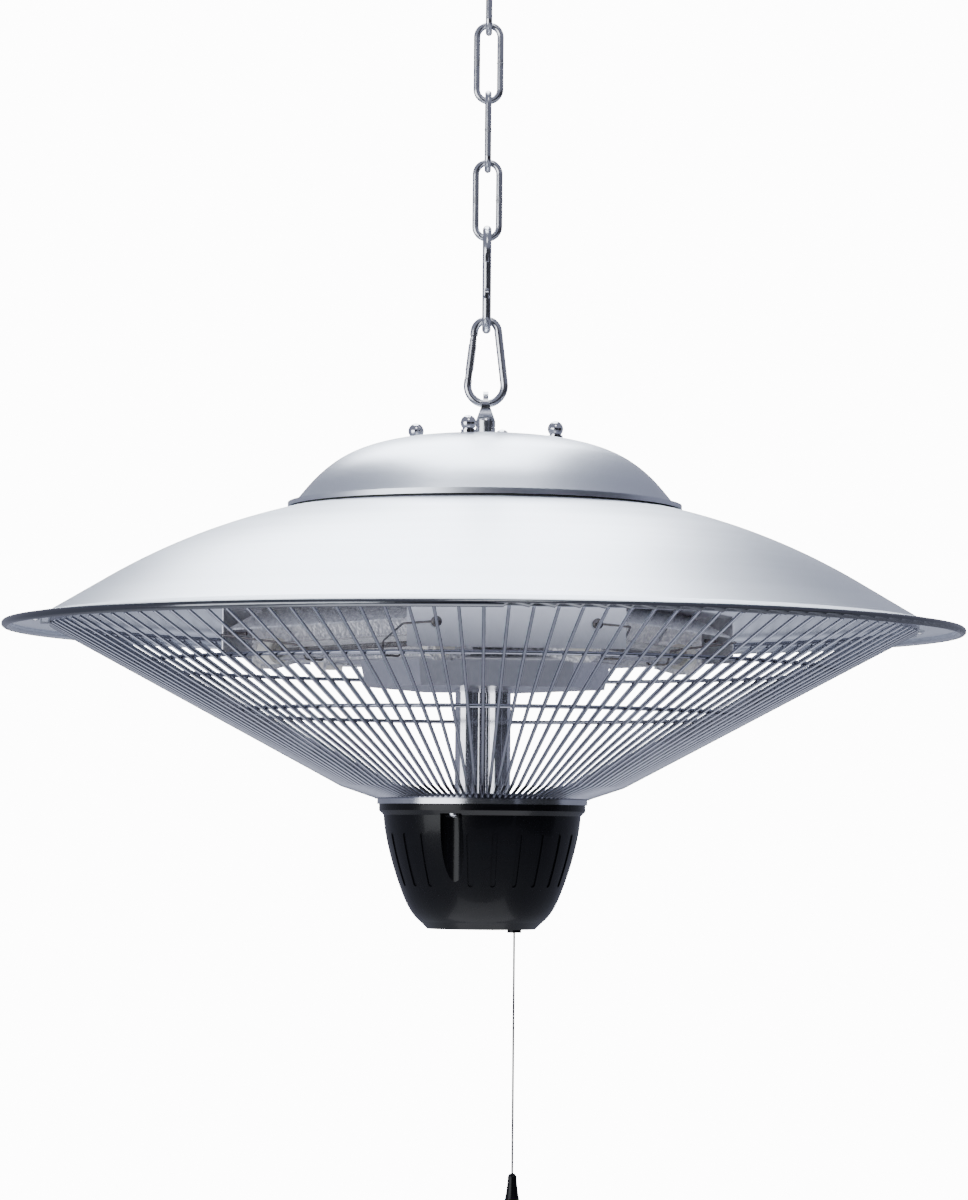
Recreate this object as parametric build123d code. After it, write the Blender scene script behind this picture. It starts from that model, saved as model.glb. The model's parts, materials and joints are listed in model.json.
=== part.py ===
"""Hanging infrared heater: a spun round shade with three quartz lamps under it and a wire guard
below them, a fluted control cup with a pull cord, all on a chain with two snap hooks.

Millimetres, +Z up. The origin is on the ceiling plane, where the screw of the ceiling hook
enters it. Heights inside the heater are measured from the plane of the shade's rim, and the
whole heater is then let down by the length of the chain.
"""

import os
from math import asin, atan2, cos, degrees, radians, sin, sqrt, tan

from build123d import *

os.makedirs("parts", exist_ok=True)

# Clearances, and how far a cutting tool runs past a face
hang_gap = 0.3
overcut = 1.0
swing_gap = 0.3
pin_gap = 0.05
loose_gap = 0.3
weld_depth = 0.15

# Ceiling hook
hook_wire = 5.0
hook_ring_radius = 11.5
hook_bend_radius = 6.0
hook_neck = 11.7
hook_mouth_angle = 150.0
hook_collar_radius = 5.0
hook_collar_height = 3.0
screw_radius = 2.6
screw_length = 32.0
screw_point_length = 7.0

# Chain
link_count = 4
link_wire = 4.2
link_width = 19.0
link_inner_length = 43.9

# Snap hooks: wire, clear inner length, bend radii of the two ends, place and length of the gate
upper_wire = 5.6
upper_inner_length = 57.1
upper_narrow_radius = 9.1
upper_wide_radius = 13.8
upper_hinge_drop = 13.5
upper_gate_length = 24.5
lower_wire = 5.0
lower_inner_length = 47.7
lower_narrow_radius = 7.5
lower_wide_radius = 11.5
lower_hinge_drop = 6.2
lower_gate_length = 24.4
tongue_thickness = 1.8
rivet_radius = 0.75
latch_pin_radius = 0.6
latch_head_length = 2.0
latch_pin_setback = 1.6

# Hanger eye
eye_hole_radius = 4.6
eye_rim_width = 4.9
eye_cone_bottom_drop = 9.0
eye_neck_width = 3.4
eye_cone_top_radius = 2.3
eye_cone_radius = 6.0
eye_cone_height = 10.9
eye_base_radius = 6.2
eye_base_height = 8.4
eye_groove_depth = 0.5
eye_seal_radius = 6.9
eye_seal_thickness = 1.4
eye_shank_radius = 4.0
eye_shank_length = 15.0
hanger_washer_radius = 10.0
hanger_washer_thickness = 1.6
hanger_nut_flats = 13.0
hanger_nut_height = 6.5

# Shade
rim_radius = 300.0
rim_bead_radius = 2.5
shade_wall = 1.2
brim_width = 26.5
kink_radius = rim_radius - brim_width
kink_height = 6.4
flank_angle = 30.7
flank_length = 44.8
crown_arc_radius = 400.0
shade_mouth_radius = 110.0

# Dome
dome_wall = 1.0
dome_mouth_overlap = 8.4
dome_flange_width = 5.1
dome_flange_lift = 4.1676
dome_lip_height = 2.9
dome_foot_rise = 1.0
dome_rise = 42.0
dome_foot_radius = shade_mouth_radius + dome_mouth_overlap
dome_flange_radius = dome_foot_radius + dome_flange_width
# Points of the dome's outline: distance in from its foot, and drop from its top
dome_steps = ((58.4, 3.9), (28.4, 14.9), (10.4, 29.7))
seal_mouth_gap = 3.0
seal_edge_inset = 0.4
seal_depth = 5.0

# Mounting plate inside the dome
plate_wall = 1.5
plate_dish = 12.5
plate_overlap = 8.0
plate_bend_inset = 2.0
plate_slope_width = 10.0
plate_rim_radius = shade_mouth_radius + plate_overlap
plate_flange_radius = shade_mouth_radius - plate_bend_inset
plate_flat_radius = plate_flange_radius - plate_slope_width

# Cap nuts and the bolts under them
dome_bolt_circle = 45.0
dome_bolt_count = 4
dome_bolt_angle = -13.6
dome_bolt_radius = 2.5
dome_bolt_head_flats = 8.0
dome_bolt_head_height = 3.5
cap_ball_radius = 4.9
cap_neck_radius = 3.6
cap_neck_height = 1.2
cap_ball_seat = 0.6
cap_washer_radius = 4.6
cap_washer_height = 1.0

# Cable gland at the back of the dome
gland_foot_inset = 34.4
gland_place_radius = dome_foot_radius - gland_foot_inset
gland_bore_radius = 3.6
gland_thread_radius = 6.0
gland_hex_flats = 15.0
gland_hex_height = 4.0
gland_cap_radius = 7.4
gland_cap_height = 9.0
gland_seal_wall = 1.4
gland_wall = 0.8
gland_tail = 9.0
gland_nut_height = 3.0
gland_nut_gap = 0.6
gland_sink = 1.6
gland_thread_setback = 4.0
gland_cap_gap = 0.1
gland_cap_taper = 1.4
gland_cap_taper_height = 2.0
gland_seal_foot = 2.0
gland_seal_recess = 0.3

# Terminal block
block_length = 34.0
block_width = 20.0
block_height = 17.0
block_angle = 31.0
block_edge_gap = 16.0
block_place_radius = plate_flat_radius - block_edge_gap - block_width / 2
block_ways = 3
block_wire_hole = 2.2
block_screw_hole = 2.4
block_slot_width = 1.6
block_slot_depth = 3.0

# Lamp unit: a truncated triangle with three lamps, turned a little about the stem
lamp_count = 3
lamp_turn = 7.5
lamp_distance = 101.0
lamp_height = -14.0
tube_radius = 6.0
tube_wall = 1.0
tube_length = 164.0
coil_radius = 1.7
coil_length = 146.0
cap_radius = 8.2
cap_length = 15.0
cap_grip = 11.0
cap_core_length = 9.0
cap_core_gap = 0.1
cap_core_place = 8.0
cap_overhang = 2.0
sheet_wall = 0.8
trough_length = 184.0
trough_inner_reach = 22.0
trough_outer_reach = 30.0
trough_rise = 26.0
trough_drop = 6.0
trough_foot = 9.0
trough_wing_height = 13.0
end_plate_half_width = 11.0
end_plate_corner = 4.0
end_plate_foot = 6.0
end_plate_shoulder = 8.0
end_plate_lean = 4.0
trough_wall_lean = 3.0
trough_wall_rise = 10.0
trough_roof_place = 4.0
panel_distance = 150.0
panel_height = 30.5
pan_long_distance = 131.5
pan_cable_hole_radius = 14.0
standoff_circle = 52.0
standoff_radius = 5.0
hub_short_distance = 60.0
hub_long_distance = 70.0
hub_depth = 17.0
hub_wall = 1.0
hub_flare = 3.0
hub_flange_short = 84.0

# Lamp retainers: spring wires from the corner screws to a hook under each tube
retainer_wire = 1.3
retainer_bend = 2.0
retainer_end = 1.3
retainer_screw_reach = 48.0
retainer_screw_height = -3.0
retainer_corner_gap = 2.4
retainer_hook_place = 40.0
retainer_screw_radius = 1.2
screw_head_radius = 3.2
screw_head_height = 2.0

# Posts
post_count = 3
post_circle = 10.5
post_radius = 8.25
post_wall = 1.0
post_collar_radius = 8.9
post_collar_height = 2.5
post_first_angle = -30.0
spigot_radius = 4.5
spigot_bore = 3.2
post_nut_flats = 11.0
post_nut_height = 3.5

# Guard
guard_wire = 2.0
guard_wire_count = 120
guard_kink_inset = 3.5
guard_top_radius = kink_radius - guard_kink_inset
guard_top_height = 0.0
guard_foot_run = 21.1
guard_foot_rise = 7.1
guard_ring_wire = 2.6
# Places of the two stiffening rings, in from the guard's upper edge
guard_ring_insets = (48.0, 102.0)
top_ring_wire = 3.2
base_ring_height = 2.6
clip_count = 6
clip_first_gap = 82
clip_width = 9.0
clip_wall = 1.0
clip_reach = 11.0
clip_inner_reach = 6.0
clip_foot_length = 6.0
brim_slant_room = 0.2
guard_screw_radius = 1.2
guard_screw_head_radius = 2.6
guard_screw_head_height = 1.7

# Collar, lower plate and control cup
post_length = 66.7
collar_radius = 65.6
collar_wall = 1.0
collar_height = 6.4
collar_flange_width = 12.0
post_plate_wall = 1.5
cup_wall = 2.4
# The cup's outline, each point as a distance in from the collar and a drop from its top
cup_lip_gap = 0.15
cup_lip_drop = 10.4
cup_shoulder = (4.0, 13.3)
cup_belly = (7.0, 32.3)
cup_lower = (15.6, 60.3)
cup_heel = (27.4, 79.3)
cup_heel_fillet = 4.5
cup_floor_drop = 84.3
flute_count = 24
flute_width = 3.4
flute_depth = 0.8
flute_top_drop = 24.3
flute_length = 33.0
pocket_count = 3
pocket_angle = 252.0
pocket_radius = 7.2
pocket_inset = 6.1
pocket_wall = 2.0
pocket_top_drop = 12.3
pocket_place_radius = collar_radius - pocket_inset
cup_screw_radius = 2.0
cup_screw_inset = 3.3
cup_screw_head_radius = 3.4
cup_screw_head_height = 2.4

# Guard foot, on the collar
guard_foot_gap = 1.3
guard_foot_drop = 1.9
guard_foot_radius = collar_radius + guard_foot_gap
guard_bend_radius_place = guard_foot_radius + guard_foot_run

# Pull switch and cord
cord_place = 20.6
cord_radius = 0.65
cord_shown_length = 150.6
pull_travel = 12.0
spool_radius = 8.0
spool_flange = 2.0
spool_width = 6.0
spool_side_gap = 0.4
spring_width = 1.2
spring_outer_radius = 6.0
spring_inner_radius = 3.8
spring_room_gap = 0.4
spool_height_above_floor = 22.0
axle_radius = 2.0
housing_wall = 2.0
housing_reach = 4.5
spool_well_gap = 0.6
spool_groove_width = 2.4
axle_end_gap = 0.3
cord_passage_radius = 1.6
bush_radius = 2.8
bush_bore_radius = 1.0
bush_flange_radius = 4.4
bush_flange_height = 1.6
bush_sink = 0.4
bush_rise = 2.0
knob_height = 18.5
knob_top_radius = 2.8
knob_bottom_radius = 5.0
knob_crown_radius = 1.6
knob_crown_height = 1.6
knob_waist_drop = 8.0
knob_waist_width = 0.5
knob_foot_height = 1.0


def on_circle(piece, count, first_angle=0.0):
    """Copies of a piece turned about the vertical axis, evenly spaced."""
    return [Rot(0, 0, first_angle + 360.0 * i / count) * piece for i in range(count)]


def ring(outer, inner, bottom, top):
    """A plain washer about the vertical axis between two heights."""
    size = top - bottom
    middle = Pos(0, 0, bottom + size / 2)
    return middle * (Cylinder(outer, size) - Cylinder(inner, size + 1))


def rod(radius, bottom, top):
    """A round bar about the vertical axis between two heights."""
    return Pos(0, 0, (bottom + top) / 2) * Cylinder(radius, top - bottom)


def hex_rod(flats, bottom, top):
    """A hexagonal bar about the vertical axis, sized across its flats."""
    outline = RegularPolygon(radius=flats / 2, side_count=6, major_radius=False)
    return Pos(0, 0, bottom) * extrude(outline, top - bottom)


def turned(outline):
    """A solid of revolution about the vertical axis from a closed outline in the XZ plane."""
    return revolve(make_face(outline), axis=Axis.Z)


def in_xz(x, z):
    return Vector(x, 0, z)


def wire_along(path, diameter):
    """Round wire swept along a smooth path."""
    start = path @ 0
    section = Plane(origin=start, z_dir=path % 0) * Circle(diameter / 2)
    return sweep(section, path=path)


def next_bar(bar_height, bar_wire, inner_length, wire):
    """Height of a hanging link's lower bar, from the bar that it hangs on."""
    return bar_height + bar_wire / 2 + hang_gap - inner_length - wire / 2


def shade_crown_centre():
    """Centre of the shade's crown arc and the point where the straight flank meets it."""
    slope = radians(flank_angle)
    flank_radius = kink_radius - flank_length * cos(slope)
    flank_top = kink_height + flank_length * sin(slope)
    centre_radius = flank_radius - crown_arc_radius * sin(slope)
    centre_height = flank_top - crown_arc_radius * cos(slope)
    return (centre_radius, centre_height), (flank_radius, flank_top)


def shade_height(radius, depth=0.0):
    """Height of the shade's crown at a radius, a given depth below its outer skin."""
    (centre_radius, centre_height), _ = shade_crown_centre()
    return centre_height + sqrt((crown_arc_radius - depth) ** 2 - (radius - centre_radius) ** 2)


# Heights inside the heater, from the plane of the rim
dome_flange_height = shade_height(dome_flange_radius) + dome_flange_lift
dome_foot_height = dome_flange_height + dome_foot_rise
dome_height = dome_foot_height + dome_rise
plate_height = shade_height(plate_rim_radius, shade_wall) - plate_dish
trough_top = lamp_height + trough_rise
trough_foot_height = lamp_height - trough_drop
hub_floor_height = trough_foot_height - hub_depth
post_plate_top = hub_floor_height - post_length
post_plate_bottom = post_plate_top - post_plate_wall
collar_top_height = post_plate_top + collar_wall
guard_foot_height = collar_top_height - guard_foot_drop
guard_bend_height = guard_foot_height + guard_foot_rise
guard_slope = atan2(guard_top_height - guard_bend_height, guard_top_radius - guard_bend_radius_place)
pocket_top_height = collar_top_height - pocket_top_drop
cup_floor_height = collar_top_height - cup_floor_drop
spool_height = cup_floor_height + spool_height_above_floor
spool_place = cord_place - spool_radius - cord_radius - loose_gap
cord_exit_height = cup_floor_height - bush_flange_height
knob_top_height = cup_floor_height - cord_shown_length

# Heights of the bars on which everything hangs, from the ceiling
bend_rise = sqrt(hook_ring_radius**2 + 2 * hook_ring_radius * hook_bend_radius)
hook_centre_height = -hook_neck - bend_rise
hook_bar = hook_centre_height - hook_ring_radius
link_bars = []
for link in range(link_count):
    above = link_bars[-1] if link_bars else hook_bar
    above_wire = link_wire if link_bars else hook_wire
    link_bars.append(next_bar(above, above_wire, link_inner_length, link_wire))
upper_bar = next_bar(link_bars[-1], link_wire, upper_inner_length, upper_wire)
lower_bar = next_bar(upper_bar, upper_wire, lower_inner_length, lower_wire)
eye_height = lower_bar + lower_wire / 2 + hang_gap - eye_hole_radius
eye_base_bottom_drop = eye_cone_bottom_drop + eye_base_height
rim_height = eye_height - eye_base_bottom_drop - eye_seal_thickness - dome_height


def make_ceiling_hook():
    """Round open hook in the XZ plane below a threaded shank with a point."""
    ring_radius, bend = hook_ring_radius, hook_bend_radius
    top = hook_centre_height + bend_rise
    reach = ring_radius + bend
    joint = in_xz(ring_radius * bend / reach, hook_centre_height + ring_radius * bend_rise / reach)
    bend_angle = degrees(atan2(bend_rise, bend))
    middle = radians(180 + bend_angle / 2)
    bend_middle = in_xz(bend + bend * cos(middle), top + bend * sin(middle))
    start = radians(bend_angle)
    end = radians(hook_mouth_angle - 360)
    centre = radians((bend_angle + hook_mouth_angle - 360) / 2)
    round_middle = in_xz(ring_radius * cos(centre), hook_centre_height + ring_radius * sin(centre))
    tip = in_xz(ring_radius * cos(end), hook_centre_height + ring_radius * sin(end))
    neck = Line(in_xz(0, 0), in_xz(0, top))
    shoulder = ThreePointArc(in_xz(0, top), bend_middle, joint)
    bow = ThreePointArc(joint, round_middle, tip)
    body = wire_along(Wire([neck, shoulder, bow]), hook_wire)
    body += Pos(*tip) * Sphere(hook_wire / 2)
    body += rod(hook_collar_radius, -hook_collar_height, 0)
    body += rod(screw_radius, 0, screw_length - screw_point_length)
    point = Cone(screw_radius, 0.4, screw_point_length)
    return body + Pos(0, 0, screw_length - screw_point_length / 2) * point


def make_link(bar_height):
    """Oval link in the XZ plane, with its lower bar at the given height."""
    bend = (link_width - link_wire) / 2
    top = bar_height + link_inner_length + link_wire
    low, high = bar_height + bend, top - bend
    path = Wire([
        Line(in_xz(bend, low), in_xz(bend, high)),
        ThreePointArc(in_xz(bend, high), in_xz(0, top), in_xz(-bend, high)),
        Line(in_xz(-bend, high), in_xz(-bend, low)),
        ThreePointArc(in_xz(-bend, low), in_xz(0, bar_height), in_xz(bend, low)),
    ])
    return wire_along(path, link_wire)


def make_snap_hook(wire, inner, narrow, wide, hinge_drop, gate_length):
    """Pear-shaped snap hook in the XZ plane: body, gate and rivet.

    The narrow bar's centre is at the origin, the wide bar hangs below it, and the gate is on
    the -X side with its hinge towards the narrow end.
    """
    length = inner + wire
    slant = asin((wide - narrow) / (length - narrow - wide))
    out = Vector(-cos(slant), 0, sin(slant))
    narrow_centre, wide_centre = in_xz(0, -narrow), in_xz(0, wide - length)
    gate_top, gate_foot = narrow_centre + out * narrow, wide_centre + out * wide
    mirrored = Vector(cos(slant), 0, sin(slant))
    back_top, back_foot = narrow_centre + mirrored * narrow, wide_centre + mirrored * wide
    down = (gate_foot - gate_top).normalized()
    hinge = gate_top + down * hinge_drop
    radius = wire / 2
    shoulder = radius + swing_gap + 0.2
    nose = gate_length + swing_gap + 0.1
    path = Wire([
        Line(hinge - down * shoulder, gate_top),
        ThreePointArc(gate_top, in_xz(0, 0), back_top),
        Line(back_top, back_foot),
        ThreePointArc(back_foot, in_xz(0, -length), gate_foot),
        Line(gate_foot, hinge + down * nose),
    ])
    body = wire_along(path, wire)

    # Frame of the gate: X inwards, Y back towards the hinge end, Z across the hook
    gate_frame = Plane(origin=hinge, x_dir=-out, z_dir=(0, -1, 0))
    tongue_radius = radius - 0.6
    tongue = Circle(tongue_radius) + Pos(0, shoulder / 2) * Rectangle(2 * tongue_radius, shoulder + 0.6)
    tongue = extrude(gate_frame * tongue, tongue_thickness / 2, both=True)
    rivet_hole = extrude(gate_frame * Circle(rivet_radius), wire, both=True)
    body = body + tongue - rivet_hole
    pin_y = -(gate_length - latch_pin_setback)
    neck_edge = -(latch_pin_radius + swing_gap)
    head_foot = pin_y + latch_pin_radius + swing_gap
    head_top = head_foot + latch_head_length
    latch_outline = Polyline(
        (-radius + 0.5, -nose - 0.5), (neck_edge, -nose - 0.5), (neck_edge, head_foot),
        (radius - 1.2, head_foot), (neck_edge + 0.6, head_top), (-radius + 0.5, head_top), close=True,
    )
    latch = extrude(gate_frame * make_face(latch_outline), tongue_thickness / 2, both=True)
    body = body + latch

    barrel = extrude(Plane(origin=hinge, z_dir=down) * Circle(radius), gate_length)
    knuckle = extrude(Plane(origin=hinge, z_dir=-down) * Circle(radius), radius)
    knuckle = knuckle & extrude(gate_frame * Circle(radius), radius, both=True)
    gate = barrel + knuckle
    slot = tongue_thickness + 2 * swing_gap
    hinge_slot = Rectangle(4 * radius, 2 * (tongue_radius + 0.8))
    gate -= extrude(gate_frame * hinge_slot, slot / 2, both=True)
    nose_slot_top = head_top + 0.6
    nose_slot = Pos(0, nose_slot_top - gate_length / 2) * Rectangle(4 * radius, gate_length)
    gate -= extrude(gate_frame * nose_slot, slot / 2, both=True)
    gate -= extrude(gate_frame * Circle(rivet_radius + pin_gap), wire, both=True)
    pin_half = sqrt(radius**2 - latch_pin_radius**2) - 0.1
    gate += extrude(gate_frame * Pos(0, pin_y) * Circle(latch_pin_radius), pin_half, both=True)
    rivet = extrude(gate_frame * Circle(rivet_radius), sqrt(radius**2 - rivet_radius**2) - 0.1, both=True)
    return body, gate, rivet


def shade_line(depth):
    """The shade's outline at a depth under its outer skin: crown arc, flank and brim."""
    centre, flank = shade_crown_centre()
    slope = radians(flank_angle)
    brim_slope = atan2(kink_height - rim_bead_radius, rim_radius - rim_bead_radius - kink_radius)
    mouth = in_xz(shade_mouth_radius, shade_height(shade_mouth_radius, depth))
    middle_radius = (shade_mouth_radius + flank[0]) / 2
    middle = in_xz(middle_radius, shade_height(middle_radius, depth))
    flank_point = in_xz(flank[0] - depth * sin(slope), flank[1] - depth * cos(slope))
    bisector = (slope + brim_slope) / 2
    mitre = depth / cos((slope - brim_slope) / 2)
    kink = in_xz(kink_radius - mitre * sin(bisector), kink_height - mitre * cos(bisector))
    brim_end = in_xz(rim_radius - rim_bead_radius, rim_bead_radius - depth)
    return ThreePointArc(mouth, middle, flank_point), Line(flank_point, kink), Line(kink, brim_end)


def make_shade():
    """Spun shade: domed crown, straight flank, shallow brim and a rolled bead at the rim."""
    outer, inner = shade_line(0), shade_line(shade_wall)
    mouth_edge = Line(inner[0] @ 0, outer[0] @ 0)
    brim_edge = Line(outer[2] @ 1, inner[2] @ 1)
    skin = turned([mouth_edge, *outer, brim_edge, *inner])
    bead = Pos(rim_radius - rim_bead_radius, 0, 0) * Rot(90, 0, 0) * Circle(rim_bead_radius)
    return skin + revolve(bead, axis=Axis.Z)


def dome_line():
    """Outer outline of the dome, from its apex to its foot."""
    points = [in_xz(0, dome_height)]
    points += [in_xz(dome_foot_radius - inset, dome_height - drop) for inset, drop in dome_steps]
    points += [in_xz(dome_foot_radius, dome_foot_height)]
    return Spline(points, tangents=[Vector(1, 0, 0), Vector(0.64, 0, -0.77)])


def parallel_line(line, depth, samples=6):
    """A spline at a given depth under another spline in the XZ plane."""
    points = []
    for i in range(samples):
        along = line % (i / (samples - 1))
        points.append((line @ (i / (samples - 1))) + Vector(along.Z, 0, -along.X) * depth)
    return Spline(points, tangents=[line % 0, line % 1])


def dome_body(depth):
    """Everything under the dome's skin, from a given depth, down to the foot."""
    line = parallel_line(dome_line(), depth) if depth else dome_line()
    foot = line @ 1
    floor = in_xz(foot.X, dome_flange_height - 20)
    outline = [line, Line(foot, floor), Line(floor, in_xz(0, floor.Z)), Line(in_xz(0, floor.Z), line @ 0)]
    return turned(outline)


def dome_slope(radius):
    """Height and slope angle of the dome's outer skin at a radius."""
    line = dome_line()
    low, high = 0.0, 1.0
    for _ in range(40):
        middle = (low + high) / 2
        low, high = (middle, high) if (line @ middle).X < radius else (low, middle)
    along = line % low
    return (line @ low).Z, degrees(atan2(-along.Z, along.X))


def make_dome(openings):
    """Spun dome with a flat flange and a lip at its foot, pierced for the eye, the bolts and the gland."""
    dome = dome_body(0) - dome_body(dome_wall)
    low = dome_flange_height - dome_wall
    dome -= ring(200, 1, low - 30, low)
    dome -= rod(dome_foot_radius - dome_wall, low - 1, low)
    dome += ring(dome_flange_radius, dome_foot_radius - dome_wall, low, dome_flange_height)
    lip_bottom = dome_flange_height - dome_lip_height
    dome += ring(dome_flange_radius, dome_flange_radius - dome_wall, lip_bottom, dome_flange_height)
    for opening in openings:
        dome -= opening
    return dome


def make_dome_seal(shade):
    """Rubber ring pinched between the dome's flange and the sloping shade."""
    top = dome_flange_height - dome_wall
    outer = dome_flange_radius - dome_wall - seal_edge_inset
    inner = shade_mouth_radius + seal_mouth_gap
    block = ring(outer, inner, top - seal_depth, top)
    return max((block - shade).solids(), key=lambda solid: solid.center().Z)


def make_mounting_plate():
    """Dished steel plate that clamps the shade's mouth from below and carries the lamp unit."""
    rim_top = shade_height(plate_rim_radius, shade_wall)
    outline = Polyline(
        in_xz(eye_shank_radius + 6, plate_height), in_xz(plate_flat_radius, plate_height),
        in_xz(plate_flange_radius, rim_top - plate_wall), in_xz(plate_rim_radius, rim_top - plate_wall),
        in_xz(plate_rim_radius, rim_top), in_xz(plate_flange_radius - 0.8, rim_top),
        in_xz(plate_flat_radius - 0.8, plate_height + plate_wall),
        in_xz(eye_shank_radius + 6, plate_height + plate_wall), close=True,
    )
    plate = turned(outline)
    hole = rod(dome_bolt_radius + loose_gap, plate_height - 1, plate_height + plate_wall + 1)
    for place in on_circle(Pos(dome_bolt_circle, 0, 0) * hole, dome_bolt_count, dome_bolt_angle):
        plate -= place
    return plate


def make_hanger_eye():
    """Forged eye: a lug that widens into a cone, a round base and a threaded shank."""
    rim = eye_hole_radius + eye_rim_width
    base_top = eye_height - eye_cone_bottom_drop
    base_bottom = eye_height - eye_base_bottom_drop
    disc = Pos(0, 0, eye_height) * Rot(0, 90, 0) * Cylinder(rim, 4 * eye_base_radius)
    cone_top = base_top + eye_cone_height
    half = eye_neck_width / 2
    wedge = Polyline(
        in_xz(-half, eye_height + rim), in_xz(half, eye_height + rim), in_xz(half, cone_top),
        in_xz(eye_cone_radius, base_top), in_xz(-eye_cone_radius, base_top), in_xz(-half, cone_top),
        close=True,
    )
    lug = disc & extrude(make_face(wedge), 2 * rim, both=True)
    cone = Cone(eye_cone_radius, eye_cone_top_radius, eye_cone_height)
    eye = lug + Pos(0, 0, base_top + eye_cone_height / 2) * cone
    eye += rod(eye_base_radius, base_bottom, base_top)
    groove = (base_top + base_bottom) / 2
    eye -= ring(eye_base_radius + 1, eye_base_radius - eye_groove_depth, groove, groove + eye_groove_depth)
    eye += rod(eye_shank_radius, base_bottom - eye_shank_length, base_bottom)
    return eye - Pos(0, 0, eye_height) * Rot(0, 90, 0) * Cylinder(eye_hole_radius, 4 * eye_base_radius)


def make_hanger_stack():
    """Seal under the eye's base, and the washer and nut that pull it down inside the dome."""
    shank = eye_shank_radius
    seal = ring(eye_seal_radius, shank, dome_height - 0.5, dome_height + eye_seal_thickness) - dome_body(0)
    washer_top = dome_slope(hanger_washer_radius)[0] - dome_wall - 0.02
    nut_top = washer_top - hanger_washer_thickness
    washer = ring(hanger_washer_radius, shank, nut_top, washer_top)
    nut = hex_rod(hanger_nut_flats, nut_top - hanger_nut_height, nut_top)
    return seal, washer, nut - rod(shank, nut_top - hanger_nut_height - 1, nut_top + 1)


def make_cap_nut():
    """Ball-shaped cap nut with its washer seated on the dome, at the bolt circle."""
    seat, _ = dome_slope(dome_bolt_circle - cap_washer_radius)
    washer_top = seat + cap_washer_height
    ball_height = washer_top + cap_neck_height + cap_ball_radius * cap_ball_seat
    nut = rod(cap_washer_radius, seat - 1.5, washer_top)
    nut += rod(cap_neck_radius, washer_top, ball_height)
    nut += Pos(0, 0, ball_height) * Sphere(cap_ball_radius)
    nut = Pos(dome_bolt_circle, 0, 0) * (nut - rod(dome_bolt_radius, seat - 3, ball_height))
    return nut - dome_body(0), ball_height


def make_dome_bolt(tip_height):
    """Hexagon bolt from under the mounting plate up into the cap nut."""
    head_top = plate_height
    bolt = hex_rod(dome_bolt_head_flats, head_top - dome_bolt_head_height, head_top)
    return Pos(dome_bolt_circle, 0, 0) * (bolt + rod(dome_bolt_radius, head_top, tip_height))


def gland_frame():
    """Frame on the back of the dome, square to its skin."""
    height, slope = dome_slope(gland_place_radius)
    return Pos(0, gland_place_radius, height) * Rot(-slope, 0, 0)


def make_gland():
    """Cable gland without its cord: body, lock nut, clamping cap and rubber seal."""
    skin = dome_wall + gland_nut_gap
    frame = gland_frame()
    bore = gland_bore_radius + gland_seal_wall
    thread_top = gland_hex_height + gland_cap_height - gland_thread_setback
    body = frame * hex_rod(gland_hex_flats, -gland_sink, gland_hex_height) - dome_body(0)
    body += frame * rod(gland_thread_radius, -gland_tail, thread_top)
    body -= frame * rod(bore, -gland_tail - overcut, thread_top + overcut)
    cap_bottom = gland_hex_height + gland_cap_gap
    cap_top = cap_bottom + gland_cap_height
    cap = rod(gland_cap_radius, cap_bottom, cap_top - gland_cap_taper_height)
    taper = Cone(gland_cap_radius, gland_cap_radius - gland_cap_taper, gland_cap_taper_height)
    cap += Pos(0, 0, cap_top - gland_cap_taper_height / 2) * taper
    cap -= rod(gland_thread_radius, cap_bottom - overcut, thread_top + pin_gap)
    cap -= rod(bore, cap_bottom, cap_top + overcut)
    seal_foot, seal_top = gland_hex_height - gland_seal_foot, cap_top - gland_seal_recess
    seal = ring(bore, gland_bore_radius, seal_foot, seal_top)
    nut = hex_rod(gland_hex_flats, -gland_nut_height - skin, -skin)
    nut -= rod(gland_thread_radius, -gland_nut_height - skin - overcut, 0)
    return body, frame * nut, frame * cap, frame * seal


def make_terminal_block():
    """Ceramic terminal block with three ways, on the mounting plate."""
    block = Box(block_width, block_length, block_height)
    pitch = block_length / block_ways
    for way in range(block_ways):
        y = (way - (block_ways - 1) / 2) * pitch
        block -= Pos(0, y, 0) * Rot(0, 90, 0) * Cylinder(block_wire_hole, block_width + overcut)
        for side in (-1, 1):
            well = Cylinder(block_screw_hole, block_height)
            block -= Pos(side * block_width / 4, y, block_height / 2) * well
    for gap in range(block_ways - 1):
        y = (gap + 1 - block_ways / 2) * pitch
        slot = Box(block_width + overcut, block_slot_width, 2 * block_slot_depth)
        block -= Pos(0, y, block_height / 2) * slot
    base = plate_height + plate_wall + block_height / 2
    return Rot(0, 0, block_angle) * Pos(block_place_radius, 0, base) * block


def truncated_triangle(short_distance, long_distance):
    """Six-sided outline from the distances of its corner sides and its lamp sides."""
    corners = []
    for side in range(2 * lamp_count):
        first = radians(lamp_turn - 90 + 60 * side)
        near, far = (short_distance, long_distance) if side % 2 == 0 else (long_distance, short_distance)
        across = (far - near * cos(radians(60))) / sin(radians(60))
        corners.append((near * cos(first) - across * sin(first), near * sin(first) + across * cos(first)))
    return Polyline(*corners, close=True)


def corner_side_length(short_distance, long_distance):
    """Length of a corner side of such an outline."""
    return 2 * (long_distance - short_distance * cos(radians(60))) / sin(radians(60))


lamp_first_angle = lamp_turn - 30
panel_first_angle = lamp_turn - 90


def at_lamp(piece, index=0):
    """From a lamp's own frame, X outwards and Y along the tube, to its place."""
    return Rot(0, 0, lamp_first_angle + 360.0 * index / lamp_count) * piece


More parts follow.
